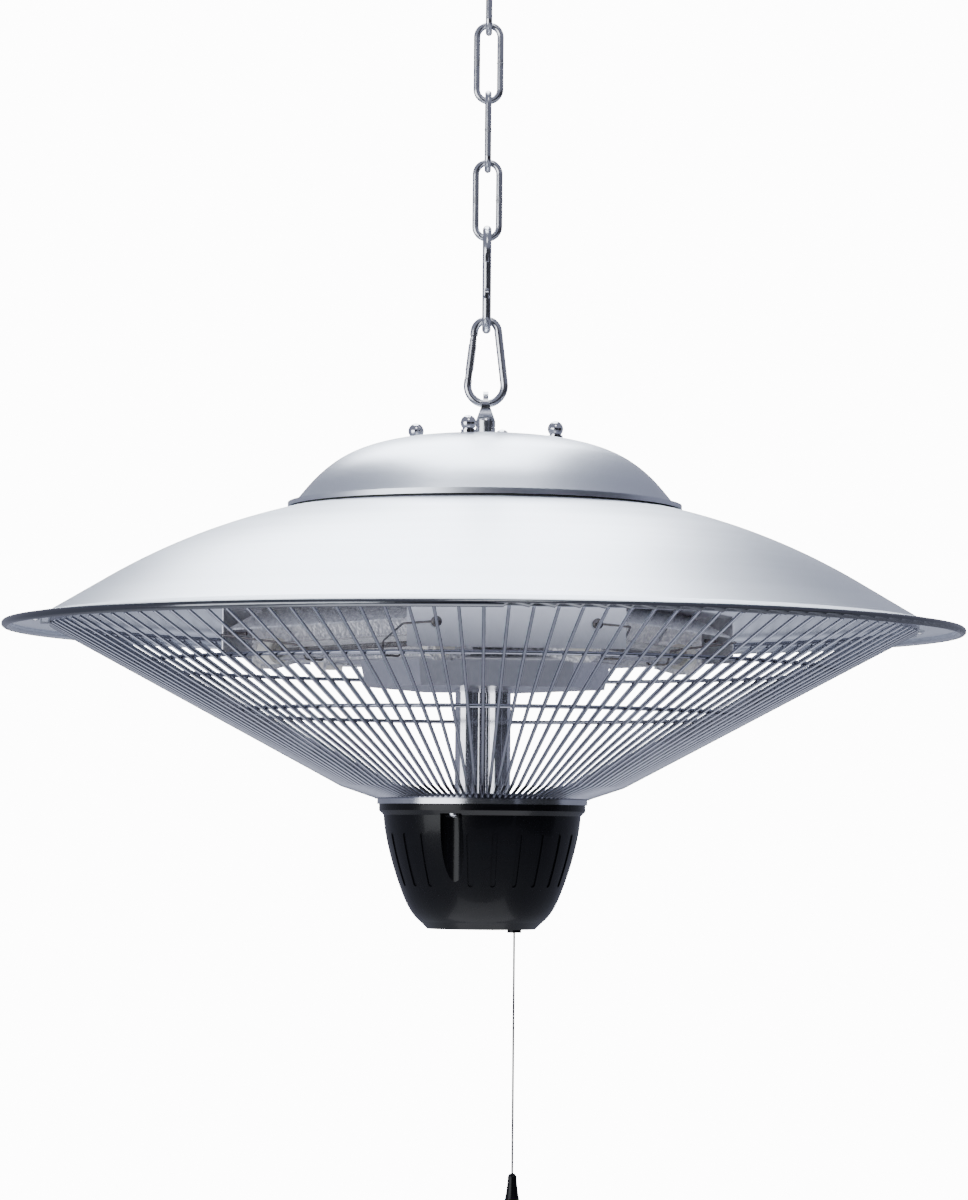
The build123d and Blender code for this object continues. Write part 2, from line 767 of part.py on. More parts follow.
def make_pan():
    """Folded reflector pan: flat roof with three corner panels turned down."""
    outline = make_face(truncated_triangle(panel_distance, pan_long_distance))
    roof = Pos(0, 0, trough_top) * extrude(outline, sheet_wall)
    width = corner_side_length(panel_distance, pan_long_distance)
    panel = Pos(panel_distance - sheet_wall / 2, 0, trough_top + sheet_wall - panel_height / 2) * Box(
        sheet_wall, width, panel_height)
    for fold in on_circle(panel, lamp_count, panel_first_angle):
        roof += fold
    roof -= rod(pan_cable_hole_radius, trough_top - 1, trough_top + 2)
    for side in (1, -1):
        hole = Pos(panel_distance, side * retainer_screw_reach, retainer_screw_height)
        hole *= Rot(0, 90, 0) * Cylinder(retainer_screw_radius, 10)
        for place in on_circle(hole, lamp_count, panel_first_angle):
            roof -= place
    return roof


def make_trough(index):
    """Bent lamp reflector: foot flange, steep inner wall, round roof, outer wing and end plates."""
    inner = lamp_distance - trough_inner_reach
    outer = lamp_distance + trough_outer_reach
    top = trough_top - sheet_wall
    foot = trough_foot_height
    wing_end = top - trough_wing_height
    wall = Line(in_xz(inner, foot), in_xz(inner + trough_wall_lean, lamp_height + trough_wall_rise))
    roof_start, roof_end = wall @ 1, in_xz(lamp_distance + trough_roof_place, top)
    back_x, back_z = roof_start.X - roof_end.X, roof_start.Z - roof_end.Z
    bend = -(back_x**2 + back_z**2) / (2 * back_z)
    centre = roof_end - in_xz(0, bend)
    to_start = (roof_start - centre).normalized()
    to_middle = (to_start + Vector(0, 0, 1)).normalized()
    back_bend = bend + sheet_wall
    roof = ThreePointArc(roof_start, centre + to_middle * bend, roof_end)
    wing = Line(roof_end, in_xz(outer, wing_end))
    flange = Line(in_xz(inner - trough_foot, foot), in_xz(inner, foot))
    back_start, back_end = centre + to_start * back_bend, centre + in_xz(0, back_bend)
    back = [
        Line(in_xz(outer, wing_end), in_xz(outer, wing_end + sheet_wall)),
        Line(in_xz(outer, wing_end + sheet_wall), back_end),
        ThreePointArc(back_end, centre + to_middle * back_bend, back_start),
        Line(back_start, in_xz(inner - sheet_wall, foot + sheet_wall)),
        Line(in_xz(inner - sheet_wall, foot + sheet_wall), in_xz(inner - trough_foot, foot + sheet_wall)),
        Line(in_xz(inner - trough_foot, foot + sheet_wall), in_xz(inner - trough_foot, foot)),
    ]
    sheet = extrude(make_face([flange, wall, roof, wing, *back]), trough_length / 2, both=True)
    low = lamp_height - end_plate_half_width
    side = lamp_distance + end_plate_half_width
    plate_outline = Polyline(
        in_xz(inner + 1, low + end_plate_corner), in_xz(lamp_distance - end_plate_foot, low),
        in_xz(lamp_distance + end_plate_foot, low), in_xz(side, low + end_plate_corner),
        in_xz(side, top - 1), in_xz(lamp_distance - end_plate_shoulder, top - 1),
        in_xz(inner + end_plate_lean, lamp_height + trough_wall_rise - 1), close=True,
    )
    plate = extrude(make_face(plate_outline), sheet_wall)
    trough = sheet
    for end in (-trough_length / 2 + sheet_wall, trough_length / 2):
        trough += Pos(0, end, 0) * plate
    trough -= Pos(lamp_distance, 0, lamp_height) * Rot(90, 0, 0) * Cylinder(cap_radius, trough_length + 2)
    return at_lamp(trough, index)


def make_lamp(index):
    """One lamp in its place: quartz tube, heating coil and the two ceramic end caps."""
    along = Pos(lamp_distance, 0, lamp_height) * Rot(90, 0, 0)
    tube = along * (Cylinder(tube_radius, tube_length) - Cylinder(tube_radius - tube_wall, tube_length + 1))
    coil = along * Cylinder(coil_radius, coil_length)
    caps = []
    for side in (-1, 1):
        cap = Cylinder(cap_radius, cap_length)
        cap -= Pos(0, 0, side * (cap_grip - cap_length)) * Cylinder(tube_radius, cap_length)
        core = Cylinder(tube_radius - tube_wall - cap_core_gap, cap_core_length)
        core -= Cylinder(coil_radius, cap_core_length + 2 * overcut)
        cap += Pos(0, 0, -side * (cap_length / 2 - cap_core_place)) * core
        cap_place = trough_length / 2 + cap_overhang - cap_length / 2
        caps.append(along * Pos(0, 0, side * cap_place) * cap)
    return at_lamp(tube, index), at_lamp(coil, index), [at_lamp(cap, index) for cap in caps]


def make_retainers():
    """Spring wires from the corner screws, each hooked under one end of a lamp."""
    wires = []
    reach = panel_distance + retainer_wire / 2
    panel_half = corner_side_length(panel_distance, pan_long_distance) / 2
    hook = tube_radius + retainer_wire / 2 + 0.05

    def beside_panel(along, height, side):
        """A point in front of a corner panel, in the frame of the lamp next to it."""
        turn = radians(60)
        out = reach * cos(turn) + along * sin(turn)
        return Vector(out, side * (reach * sin(turn) - along * cos(turn)), height)

    for side in (-1, 1):
        place = side * retainer_hook_place
        points = [
            beside_panel(retainer_screw_reach + retainer_end, retainer_screw_height, side),
            beside_panel(panel_half + retainer_corner_gap, retainer_screw_height - 1.5, side),
            Vector(lamp_distance + hook + 1.2, place + side * 3, lamp_height + 2),
            Vector(lamp_distance + hook, place, lamp_height - hook),
            Vector(lamp_distance - hook, place, lamp_height - hook),
            Vector(lamp_distance - hook, place, lamp_height + 1),
        ]
        path = FilletPolyline(*points, radius=retainer_bend)
        wires.append(wire_along(path, retainer_wire))
    return [at_lamp(wire, i) for i in range(lamp_count) for wire in wires]


def make_retainer_screws():
    """Round-head screws through the corner panels."""
    screws = []
    for side in (-1, 1):
        under_head = panel_distance + retainer_wire
        shank = Pos(under_head - 5, 0, 0) * Rot(0, 90, 0) * Cylinder(retainer_screw_radius, 10)
        head = Pos(under_head + screw_head_height / 2, 0, 0) * Rot(0, 90, 0) * Cylinder(
            screw_head_radius, screw_head_height)
        screw = Pos(0, side * retainer_screw_reach, retainer_screw_height) * (shank + head)
        screws += on_circle(screw, lamp_count, panel_first_angle)
    return screws


def make_standoffs():
    """Three tubes that hang the reflector pan from the mounting plate."""
    bottom = trough_top + sheet_wall
    tube = ring(standoff_radius, standoff_radius - 1.2, bottom, plate_height)
    return on_circle(Pos(standoff_circle, 0, 0) * tube, lamp_count, lamp_first_angle)


def post_places(piece):
    """The three places of the posts, two of them towards the front."""
    return on_circle(Pos(post_circle, 0, 0) * piece, post_count, post_first_angle)


def make_hub_cover():
    """Pressed tray below the reflectors: a flat flange under the troughs and a deeper hub."""
    flange_top = trough_foot_height
    flange_long = lamp_distance - trough_inner_reach - 1
    flange = extrude(Pos(0, 0, flange_top - hub_wall) * make_face(
        truncated_triangle(hub_flange_short, flange_long)), hub_wall)
    upper = Pos(0, 0, flange_top - hub_wall) * make_face(
        truncated_triangle(hub_short_distance + hub_flare, hub_long_distance + hub_flare))
    lower = make_face(truncated_triangle(hub_short_distance, hub_long_distance))
    lower = Pos(0, 0, hub_floor_height) * lower
    shell = loft([lower, upper])
    inner_flare = hub_flare - hub_wall
    inner_upper = Pos(0, 0, flange_top) * make_face(
        truncated_triangle(hub_short_distance + inner_flare, hub_long_distance + inner_flare))
    inner_lower = Pos(0, 0, hub_floor_height + hub_wall) * make_face(
        truncated_triangle(hub_short_distance - hub_wall, hub_long_distance - hub_wall))
    cavity = loft([inner_lower, inner_upper])
    cover = flange + shell - cavity
    for hole in post_places(rod(spigot_radius, hub_floor_height - 1, hub_floor_height + 3)):
        cover -= hole
    return cover


def make_post():
    """Chromed tube with a collar at its head and a hollow spigot at each end."""
    top, bottom = hub_floor_height, post_plate_top
    post = rod(post_radius, bottom, top) + rod(post_collar_radius, top - post_collar_height, top)
    post += rod(spigot_radius, post_plate_bottom - post_nut_height - 1, bottom)
    post += rod(spigot_radius, top, top + hub_wall + post_nut_height + 1)
    return post - rod(spigot_bore, bottom - 20, top + 20)


def make_post_nuts():
    """Nuts on the spigots, inside the hub above and inside the cup below."""
    low = hex_rod(post_nut_flats, post_plate_bottom - post_nut_height, post_plate_bottom)
    high_bottom = hub_floor_height + hub_wall
    high = hex_rod(post_nut_flats, high_bottom, high_bottom + post_nut_height)
    bore = rod(spigot_radius, post_plate_bottom - 20, 0)
    return post_places(low - bore) + post_places(high - bore)


def make_post_plate():
    """Steel disc on the lower ends of the posts, which closes the cup."""
    plate = rod(collar_radius - collar_wall, post_plate_bottom, post_plate_top)
    for hole in post_places(rod(spigot_radius, post_plate_bottom - 1, post_plate_top + 1)):
        plate -= hole
    for hole in on_circle(Pos(pocket_place_radius - cup_screw_inset, 0, 0) * rod(
            cup_screw_radius, post_plate_bottom - 1, post_plate_top + 1), pocket_count, pocket_angle):
        plate -= hole
    return plate


def make_collar():
    """Bright band round the top of the cup, with a flange that lies on the lower plate."""
    bottom = collar_top_height - collar_height
    band = ring(collar_radius, collar_radius - collar_wall, bottom, collar_top_height)
    lip = collar_radius - collar_flange_width
    return band + ring(collar_radius, lip, collar_top_height - collar_wall, collar_top_height)


def hex_section(centre, diameter, across):
    """Six-sided wire section in the XZ plane, one corner along the given angle."""
    corners = []
    for corner in range(6):
        angle = radians(across + 60 * corner)
        corners.append(centre + in_xz(cos(angle), sin(angle)) * (diameter / 2))
    return make_face(Polyline(*corners, close=True))


def guard_line_height(radius):
    """Height of the guard wires' centre line on their straight run."""
    return guard_top_height - (guard_top_radius - radius) * tan(guard_slope)


def wire_corners(point, direction, stretch=1.0):
    """Six corners of a guard wire's section, square to a direction in the XZ plane."""
    half = guard_wire / 2
    normal = Vector(-direction.Z, 0, direction.X).normalized()
    corners = []
    for corner in range(6):
        angle = radians(60 * corner)
        corners.append(point + Vector(0, half * cos(angle), 0) + normal * (half * stretch * sin(angle)))
    return corners


def make_guard_wires():
    """Radial guard wires: a long straight run and a short foot bent in to the collar."""
    top = in_xz(guard_top_radius, guard_top_height)
    bend = in_xz(guard_bend_radius_place, guard_bend_height)
    foot = in_xz(guard_foot_radius, guard_foot_height)
    run, tail = (bend - top).normalized(), (foot - bend).normalized()
    turn = (run + tail).normalized()
    stretch = 1 / turn.dot(run)
    rings = [wire_corners(top, run), wire_corners(bend, turn, stretch), wire_corners(foot, tail)]
    faces = [Face(Wire.make_polygon(rings[0])), Face(Wire.make_polygon(rings[-1]))]
    for upper, lower in zip(rings, rings[1:]):
        for i in range(6):
            j = (i + 1) % 6
            faces.append(Face(Wire.make_polygon([upper[i], upper[j], lower[j], lower[i]])))
    wire = Solid(Shell(faces))
    return on_circle(wire, guard_wire_count)


def make_guard_ring(radius, diameter):
    """Stiffening ring welded inside the guard wires."""
    lift = guard_wire / 2 + diameter / 2 - weld_depth
    centre = in_xz(radius - lift * sin(guard_slope), guard_line_height(radius) + lift * cos(guard_slope))
    return revolve(hex_section(centre, diameter, 0), axis=Axis.Z)


def top_ring_height():
    """Height of the middle of the guard's upper ring, welded on top of the wire ends."""
    return guard_top_height + (top_ring_wire * cos(radians(30)) + guard_wire) / 2 - weld_depth


def make_top_ring():
    """Ring at the guard's upper edge, on top of the wire ends."""
    centre = in_xz(guard_top_radius, top_ring_height())
    return revolve(hex_section(centre, top_ring_wire, 0), axis=Axis.Z)


def make_base_ring():
    """Flat ring at the guard's foot, seated on the outside of the collar."""
    half = base_ring_height / 2
    low, high = guard_foot_height - half, guard_foot_height + half
    return ring(guard_foot_radius + weld_depth, collar_radius, low, high)


def brim_under(radius):
    """Height of the brim's underside at a radius."""
    brim_slope = (kink_height - rim_bead_radius) / (rim_radius - rim_bead_radius - kink_radius)
    return kink_height - (radius - kink_radius) * brim_slope - shade_wall / cos(atan2(brim_slope, 1))


def make_clips_and_screws(shade):
    """Clips that hold the guard's upper ring to the brim, each with a screw."""
    outer, inner = guard_top_radius + clip_reach, guard_top_radius - clip_inner_reach
    low = top_ring_height() - top_ring_wire / 2 * cos(radians(30)) - clip_wall
    seat = brim_under(outer - clip_foot_length / 2) - brim_slant_room
    step = outer - clip_foot_length + clip_wall / 2
    strip_length = step - inner + clip_wall / 2
    strip = Pos(inner + strip_length / 2, 0, low + clip_wall / 2) * Box(strip_length, clip_width, clip_wall)
    rise = Pos(step, 0, (low + seat) / 2) * Box(clip_wall, clip_width, seat - low)
    foot = Box(clip_foot_length + clip_wall / 2, clip_width, clip_wall)
    foot = Pos(outer - clip_foot_length / 2, 0, seat - clip_wall / 2) * foot
    under_foot = seat - clip_wall
    screw = rod(guard_screw_head_radius, under_foot - guard_screw_head_height, under_foot)
    screw += rod(guard_screw_radius, under_foot, seat + 3 * brim_slant_room)
    screw_place = Pos(outer - clip_foot_length / 3, 0, 0)
    screw = screw_place * screw
    clip = strip + rise + foot - screw_place * rod(guard_screw_radius, low, seat + 1)
    first = (clip_first_gap + 0.5) * 360.0 / guard_wire_count
    clips = on_circle(clip, clip_count, first)
    screws = on_circle(screw, clip_count, first)
    return [piece - shade for piece in clips], [piece - shade for piece in screws]


def cup_point(step, depth, lift=0.0):
    """A point of the cup's outline, moved in by a depth and up by a lift."""
    inset, drop = step
    return in_xz(collar_radius - inset - depth, collar_top_height - drop + lift)


def cup_body(depth):
    """Everything inside the cup's skin from a given depth."""
    lip_top = post_plate_bottom
    lip = collar_radius - collar_wall - cup_lip_gap - depth
    lip_foot = collar_top_height - cup_lip_drop
    shoulder, heel = cup_point(cup_shoulder, depth), cup_point(cup_heel, depth, depth / 2)
    side = Spline(
        [shoulder, cup_point(cup_belly, depth), cup_point(cup_lower, 1.1 * depth), heel],
        tangents=[Vector(-0.06, 0, -1), Vector(-0.78, 0, -0.62)],
    )
    floor = in_xz(0, cup_floor_height + depth)
    floor_edge = in_xz(heel.X - cup_heel_fillet, cup_floor_height + depth + 0.6)
    outline = [
        Line(in_xz(0, lip_top), in_xz(lip, lip_top)), Line(in_xz(lip, lip_top), in_xz(lip, lip_foot)),
        Line(in_xz(lip, lip_foot), shoulder), side, Line(heel, floor_edge), Line(floor_edge, floor),
        Line(floor, in_xz(0, lip_top)),
    ]
    return turned(outline)


def make_cup():
    """Moulded control cup with flutes, three screw pockets and a hole for the cord's bush."""
    skin, core = cup_body(0), cup_body(cup_wall)
    pocket_x = pocket_place_radius
    tall = pocket_top_height - cup_floor_height
    boss = Cylinder(pocket_radius + pocket_wall, tall)
    boss = Pos(pocket_x, 0, pocket_top_height - tall / 2 + pocket_wall) * boss
    bosses = on_circle(boss, pocket_count, pocket_angle)
    for piece in bosses:
        core -= piece
    core = max(core.solids(), key=lambda solid: solid.volume)
    cup = skin - core
    pocket = Pos(pocket_x, 0, pocket_top_height - tall / 2) * Cylinder(pocket_radius, tall)
    for piece in on_circle(pocket, pocket_count, pocket_angle):
        cup -= piece
    screw_hole = rod(cup_screw_radius + pin_gap, pocket_top_height - 1, post_plate_bottom + 1)
    screw_hole = Pos(pocket_x - cup_screw_inset, 0, 0) * screw_hole
    for piece in on_circle(screw_hole, pocket_count, pocket_angle):
        cup -= piece
    rind = skin - cup_body(flute_depth)
    middle = collar_top_height - flute_top_drop - flute_length / 2
    slot = Plane.YZ * Pos(0, middle) * SlotOverall(flute_length, flute_width, rotation=90)
    slot = extrude(slot, 2 * collar_radius)
    for i in range(flute_count):
        angle = 270 + 360.0 / flute_count * (i + 0.5)
        nearest = min(abs((angle - pocket_angle - 120 * k + 180) % 360 - 180) for k in range(pocket_count))
        if nearest > degrees(asin((pocket_radius + flute_width / 2) / pocket_place_radius)):
            cup -= rind & (Rot(0, 0, angle) * slot)
    return cup - Pos(cord_place, 0, 0) * rod(bush_radius, cup_floor_height - 2, cup_floor_height + 6)


def make_cup_screws():
    """Screws up through the pockets into the lower plate."""
    head_top = pocket_top_height
    screw = rod(cup_screw_head_radius, head_top - cup_screw_head_height, head_top)
    screw += rod(cup_screw_radius, head_top, post_plate_top)
    return on_circle(Pos(pocket_place_radius - cup_screw_inset, 0, 0) * screw, pocket_count, pocket_angle)


def make_switch():
    """Pull switch: housing with a wheel well, cord spool on its axle, and the return spring."""
    across = Pos(spool_place, 0, spool_height) * Rot(90, 0, 0)
    well = spool_radius + spool_flange + spool_well_gap
    well_width = spool_width + 2 * spool_side_gap
    floor = cup_floor_height + cup_wall
    half_width = well_width / 2 + housing_wall
    high = spool_height + well + housing_wall
    left = spool_place - well - housing_wall
    right = cord_place + housing_reach
    housing = Box(right - left, 2 * half_width, high - floor)
    housing = Pos((left + right) / 2, 0, (floor + high) / 2) * housing
    housing &= cup_body(cup_wall)
    housing -= across * Cylinder(well, well_width)
    housing -= across * Cylinder(axle_radius + pin_gap, 4 * half_width)
    housing -= Pos(cord_place, 0, 0) * rod(cord_passage_radius, floor - overcut, spool_height + 2)
    housing -= Pos(cord_place, 0, 0) * rod(bush_radius, floor - 1, floor + 2)
    spool = across * Cylinder(spool_radius + spool_flange, spool_width)
    groove = Cylinder(spool_radius + spool_flange + overcut, spool_groove_width)
    groove -= Cylinder(spool_radius, spool_groove_width)
    spool -= across * groove
    spool += across * Cylinder(axle_radius, 2 * (half_width - axle_end_gap))
    spring_middle = across * Pos(0, 0, well_width / 2 - spring_width / 2)
    room = Cylinder(spring_outer_radius + spring_room_gap, 2 * spring_width + spool_side_gap)
    room -= Cylinder(spring_inner_radius - spring_room_gap, 4 * spring_width)
    spool -= spring_middle * room
    spring = spring_middle * (
        Cylinder(spring_outer_radius, spring_width) - Cylinder(spring_inner_radius, spring_width))
    return housing, spool, spring


def make_bush():
    """Flanged bush that guides the cord through the cup's floor."""
    place = Pos(cord_place, 0, 0)
    skin = cup_floor_height + bush_sink
    low = cup_floor_height - bush_flange_height
    bush = rod(bush_radius, skin, cup_floor_height + cup_wall + bush_rise)
    bush += rod(bush_flange_radius, low, skin)
    bush = place * (bush - rod(bush_bore_radius, low - 1, cup_floor_height + 10))
    return bush - (cup_body(0) - place * rod(bush_radius, low, cup_floor_height + 6))


def make_cord_and_knob():
    """Straight hanging cord from the spool to a bell-shaped knob."""
    place = Pos(cord_place, 0, 0)
    cord = place * rod(cord_radius, knob_top_height, spool_height)
    top, bottom = knob_top_height, knob_top_height - knob_height
    shoulder = in_xz(knob_top_radius, top - knob_crown_height)
    waist = in_xz(knob_top_radius + knob_waist_width, top - knob_waist_drop)
    foot = in_xz(knob_bottom_radius, bottom + knob_foot_height)
    sole = in_xz(knob_bottom_radius - knob_foot_height, bottom)
    side = Spline([shoulder, waist, foot], tangents=[Vector(0, 0, -1), Vector(0.3, 0, -1)])
    outline = [
        Line(in_xz(0, top), in_xz(knob_crown_radius, top)),
        Line(in_xz(knob_crown_radius, top), side @ 0), side, Line(side @ 1, sole),
        Line(sole, in_xz(0, bottom)), Line(in_xz(0, bottom), in_xz(0, top)),
    ]
    return cord, place * turned(outline)


def save(name, pieces):
    """Write one named piece, or a group of like pieces, as its own file."""
    solids = []
    for piece in pieces if isinstance(pieces, (list, tuple)) else [pieces]:
        solids += piece.solids()
    shape = solids[0] if len(solids) == 1 else Compound(children=solids)
    shape.label = name
    export_step(shape, f"parts/{name}.step")


def save_chain():
    """The ceiling hook, the links and the two snap hooks, each in its hanging place."""
    save("ceiling_hook", make_ceiling_hook())
    for i, bar in enumerate(link_bars):
        turn = 90 if i % 2 == 0 else 0
        save(f"chain_link_{i + 1}", Rot(0, 0, turn) * make_link(bar))
    parts = make_snap_hook(upper_wire, upper_inner_length, upper_narrow_radius, upper_wide_radius,
                           upper_hinge_drop, upper_gate_length)
    place = Pos(0, 0, upper_bar) * Rot(0, 0, 90) * Rot(180, 0, 0)
    for name, piece in zip(("hook", "gate", "rivet"), parts):
        save(f"upper_snap_{name}", place * piece)
    parts = make_snap_hook(lower_wire, lower_inner_length, lower_narrow_radius, lower_wide_radius,
                           lower_hinge_drop, lower_gate_length)
    place = Pos(0, 0, lower_bar + lower_inner_length + lower_wire)
    for name, piece in zip(("hook", "gate", "rivet"), parts):
        save(f"lower_snap_{name}", place * piece)


def save_heater():
    """Every piece of the heater, let down from the ceiling plane to its hanging height."""
    lowered = Pos(0, 0, rim_height)

    def keep(name, pieces):
        group = pieces if isinstance(pieces, (list, tuple)) else [pieces]
        save(name, [lowered * piece for piece in group])

    shade = make_shade()
    cap_nut, cap_ball_height = make_cap_nut()
    bolt_hole = rod(dome_bolt_radius + loose_gap, dome_height - 20, dome_height + 5)
    openings = on_circle(Pos(dome_bolt_circle, 0, 0) * bolt_hole, dome_bolt_count, dome_bolt_angle)
    openings.append(rod(eye_shank_radius + loose_gap, dome_height - 10, dome_height + 5))
    openings.append(gland_frame() * rod(gland_thread_radius + loose_gap, -12, 6))
    keep("shade", shade)
    keep("top_dome", make_dome(openings))
    keep("dome_seal", make_dome_seal(shade))
    keep("mounting_plate", make_mounting_plate())
    save("hanger_eye", make_hanger_eye())
    seal, washer, nut = make_hanger_stack()
    keep("hanger_seal", seal)
    keep("hanger_washer", washer)
    keep("hanger_nut", nut)
    keep("cap_nuts", on_circle(cap_nut, dome_bolt_count, dome_bolt_angle))
    bolt = make_dome_bolt(cap_ball_height)
    keep("dome_bolts", on_circle(bolt, dome_bolt_count, dome_bolt_angle))
    for name, piece in zip(("body", "lock_nut", "cap", "seal"), make_gland()):
        keep(f"gland_{name}", piece)
    keep("terminal_block", make_terminal_block())
    keep("reflector_standoffs", make_standoffs())
    keep("reflector_pan", make_pan())
    caps, coils = [], []
    for i in range(lamp_count):
        keep(f"lamp_reflector_{i + 1}", make_trough(i))
        tube, coil, ends = make_lamp(i)
        keep(f"lamp_tube_{i + 1}", tube)
        coils.append(coil)
        caps += ends
    keep("lamp_coils", coils)
    keep("lamp_end_caps", caps)
    keep("lamp_retainers", make_retainers())
    keep("retainer_screws", make_retainer_screws())
    keep("hub_cover", make_hub_cover())
    for i, post in enumerate(post_places(make_post())):
        keep(f"post_{i + 1}", post)
    keep("post_nuts", make_post_nuts())
    keep("post_plate", make_post_plate())
    keep("collar_ring", make_collar())
    keep("guard_wires", make_guard_wires())
    keep("guard_top_ring", make_top_ring())
    for name, inset in zip(("upper", "lower"), guard_ring_insets):
        keep(f"guard_{name}_ring", make_guard_ring(guard_top_radius - inset, guard_ring_wire))
    keep("guard_base_ring", make_base_ring())
    clips, screws = make_clips_and_screws(shade)
    keep("guard_clips", clips)
    keep("guard_screws", screws)
    keep("control_cup", make_cup())
    keep("cup_screws", make_cup_screws())
    housing, spool, spring = make_switch()
    keep("switch_housing", housing)
    keep("switch_spool", spool)
    keep("switch_spring", spring)
    keep("cord_bush", make_bush())
    cord, knob = make_cord_and_knob()
    keep("pull_cord", cord)
    keep("pull_knob", knob)


save_chain()
save_heater()
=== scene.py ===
"""Dresses the packed model of a hanging infrared heater: finishes, wires, coils, screws and stage.

The file is laid out as an add-on: settings, one operator for each piece or group of like pieces,
one panel that lists them, and a main function that runs the operators in their order.
Metres, +Z up. The origin is on the ceiling plane, at the screw of the ceiling hook.
"""

import json
from math import atan2, cos, pi, radians, sin, tan

import bmesh
import bpy
from mathutils import Matrix, Vector


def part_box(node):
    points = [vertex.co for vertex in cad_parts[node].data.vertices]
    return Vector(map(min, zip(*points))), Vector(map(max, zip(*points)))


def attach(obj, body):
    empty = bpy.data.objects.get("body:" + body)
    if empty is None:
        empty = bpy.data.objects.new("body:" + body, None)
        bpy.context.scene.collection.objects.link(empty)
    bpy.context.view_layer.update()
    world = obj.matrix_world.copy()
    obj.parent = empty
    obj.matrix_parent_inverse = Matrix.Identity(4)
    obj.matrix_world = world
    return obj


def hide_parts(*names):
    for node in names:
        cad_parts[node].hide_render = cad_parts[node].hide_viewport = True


bl_info = {
    "name": "Hanging infrared heater",
    "version": (1, 0, 0),
    "blender": (4, 5, 0),
    "location": "3D View > Sidebar > Heater",
    "description": "Dresses a hanging infrared heater with its wires, screws and finishes",
    "category": "Object",
}

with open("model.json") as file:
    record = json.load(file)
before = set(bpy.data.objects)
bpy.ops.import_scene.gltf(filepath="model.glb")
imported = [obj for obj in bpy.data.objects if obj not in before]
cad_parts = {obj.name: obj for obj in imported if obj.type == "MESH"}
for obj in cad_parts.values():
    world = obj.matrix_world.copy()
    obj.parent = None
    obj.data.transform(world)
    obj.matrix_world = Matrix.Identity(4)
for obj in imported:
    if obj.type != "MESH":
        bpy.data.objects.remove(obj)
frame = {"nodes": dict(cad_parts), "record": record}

MM = 0.001

# Heights of the packed model that the scene's own pieces are set against
RIM_HEIGHT = -460.4393 * MM
KNOB_TOP = RIM_HEIGHT - 337.6 * MM
CORD_EXIT = RIM_HEIGHT - 188.6 * MM

# Pull cord: distance from the hanging axis, spool below the rim, and points below its exit
CORD_PLACE = 20.6 * MM
SPOOL_DROP = 165.0 * MM
CORD_STEPS = (40 * MM, 75 * MM, 110 * MM)

# Radii between which the shade's skin turns into its rolled bead, where a dark reflection is
# painted into the colour
PAINTED_DARK_BEAD_RADII = (295.5 * MM, 297.5 * MM)

# Chain: height of each link's lower bar, then the sizes that all links share
LINK_BARS = (-82.8393 * MM, -126.4393 * MM, -170.0393 * MM, -213.6393 * MM)
LINK_PITCH = 43.6 * MM
LINK_LEG = 7.4 * MM
LINK_HALF = 24.05 * MM
LINK_WIRE = 4.2 * MM

# Weld beads: how far they sink into the wire, and the distance between two noise seeds
BEAD_SINK = 0.2 * MM
SEED_STEP = 0.37

# Angles of the first lamp, the first reflector pan and the first screw of each ring
LAMP_FIRST = radians(-22.5)
PANEL_FIRST = radians(-82.5)
CLIP_FIRST = radians(247.5)
CUP_FIRST = radians(252)

# Cross-head screws: radius and height of the head, radius of the shank
RETAINER_SCREW = (3.2 * MM, 2.0 * MM, 1.2 * MM)
CLIP_SCREW = (2.6 * MM, 1.7 * MM, 1.2 * MM)
CUP_SCREW = (3.4 * MM, 2.4 * MM, 2.0 * MM)

# Retainer screws: length, distance from the middle, distance to the side, height above the rim
RETAINER_LENGTH = 10.0 * MM
RETAINER_DISTANCE = 151.3 * MM
RETAINER_SIDE = 48.0 * MM
RETAINER_HEIGHT = -3.0 * MM

# Distances of the clips' and the cup's screws from the hanging axis
CLIP_DISTANCE = 279.0 * MM
CUP_DISTANCE = 56.2 * MM

# The packed top ring has six sides: its width across them, as a share of its diameter
ACROSS_FLATS = cos(radians(30))

# Stage: each light's place, the point it faces, its width and height, and its colour
HEATER_MIDDLE = (0, 0, -0.42)
LIGHTS = {
    "side_light": ((-2.3, -2.1, -0.6), (0, 0, -0.6), (2.8, 1.8), (0.94, 0.97, 1.0)),
    "back_light": ((-0.2, 1.6, 2.6), HEATER_MIDDLE, (2.2, 3.8), (0.90, 0.95, 1.0)),
    "front_light": ((0.2, -2.4, 2.2), HEATER_MIDDLE, (1.2, 1.2), (1.0, 1.0, 1.0)),
    "low_light": ((0, -0.6, -3.0), HEATER_MIDDLE, (3.0, 2.4), (0.93, 0.94, 1.0)),
}

# Dark cloths that only show in reflections: size, place, and turn about the vertical axis
DARK_CLOTHS = {
    "dark_wall": ((6.0, 2.6), (0.4, -4.6, -0.7), 0),
    "dark_side": ((4.0, 2.2), (3.6, -1.6, -0.6), radians(70)),
}
FLOOR_SIZE = (12, 12)

# Colour and strength of the air, where it is reflected and where the camera sees it
AIR_REFLECTED = ((0.54, 0.57, 0.74, 1), 0.52)
AIR_SEEN = ((1, 1, 1, 1), 13.0)

# Camera: width of the sensor in millimetres and farthest distance that it shows
SENSOR_WIDTH = 36.0
CLIP_END = 100.0


# ---------------------------------------------------------------- nodes and sums on sockets


def new_node(tree, kind, settings, values, output):
    """Make a node, with its settings and the values or links of its sockets; return an output."""
    node = tree.nodes.new(kind)
    for key, value in (settings or {}).items():
        setattr(node, key, value)
    for key, value in (values or {}).items():
        if isinstance(value, bpy.types.NodeSocket):
            tree.links.new(value, node.inputs[key])
        else:
            node.inputs[key].default_value = value
    return node.outputs[output]


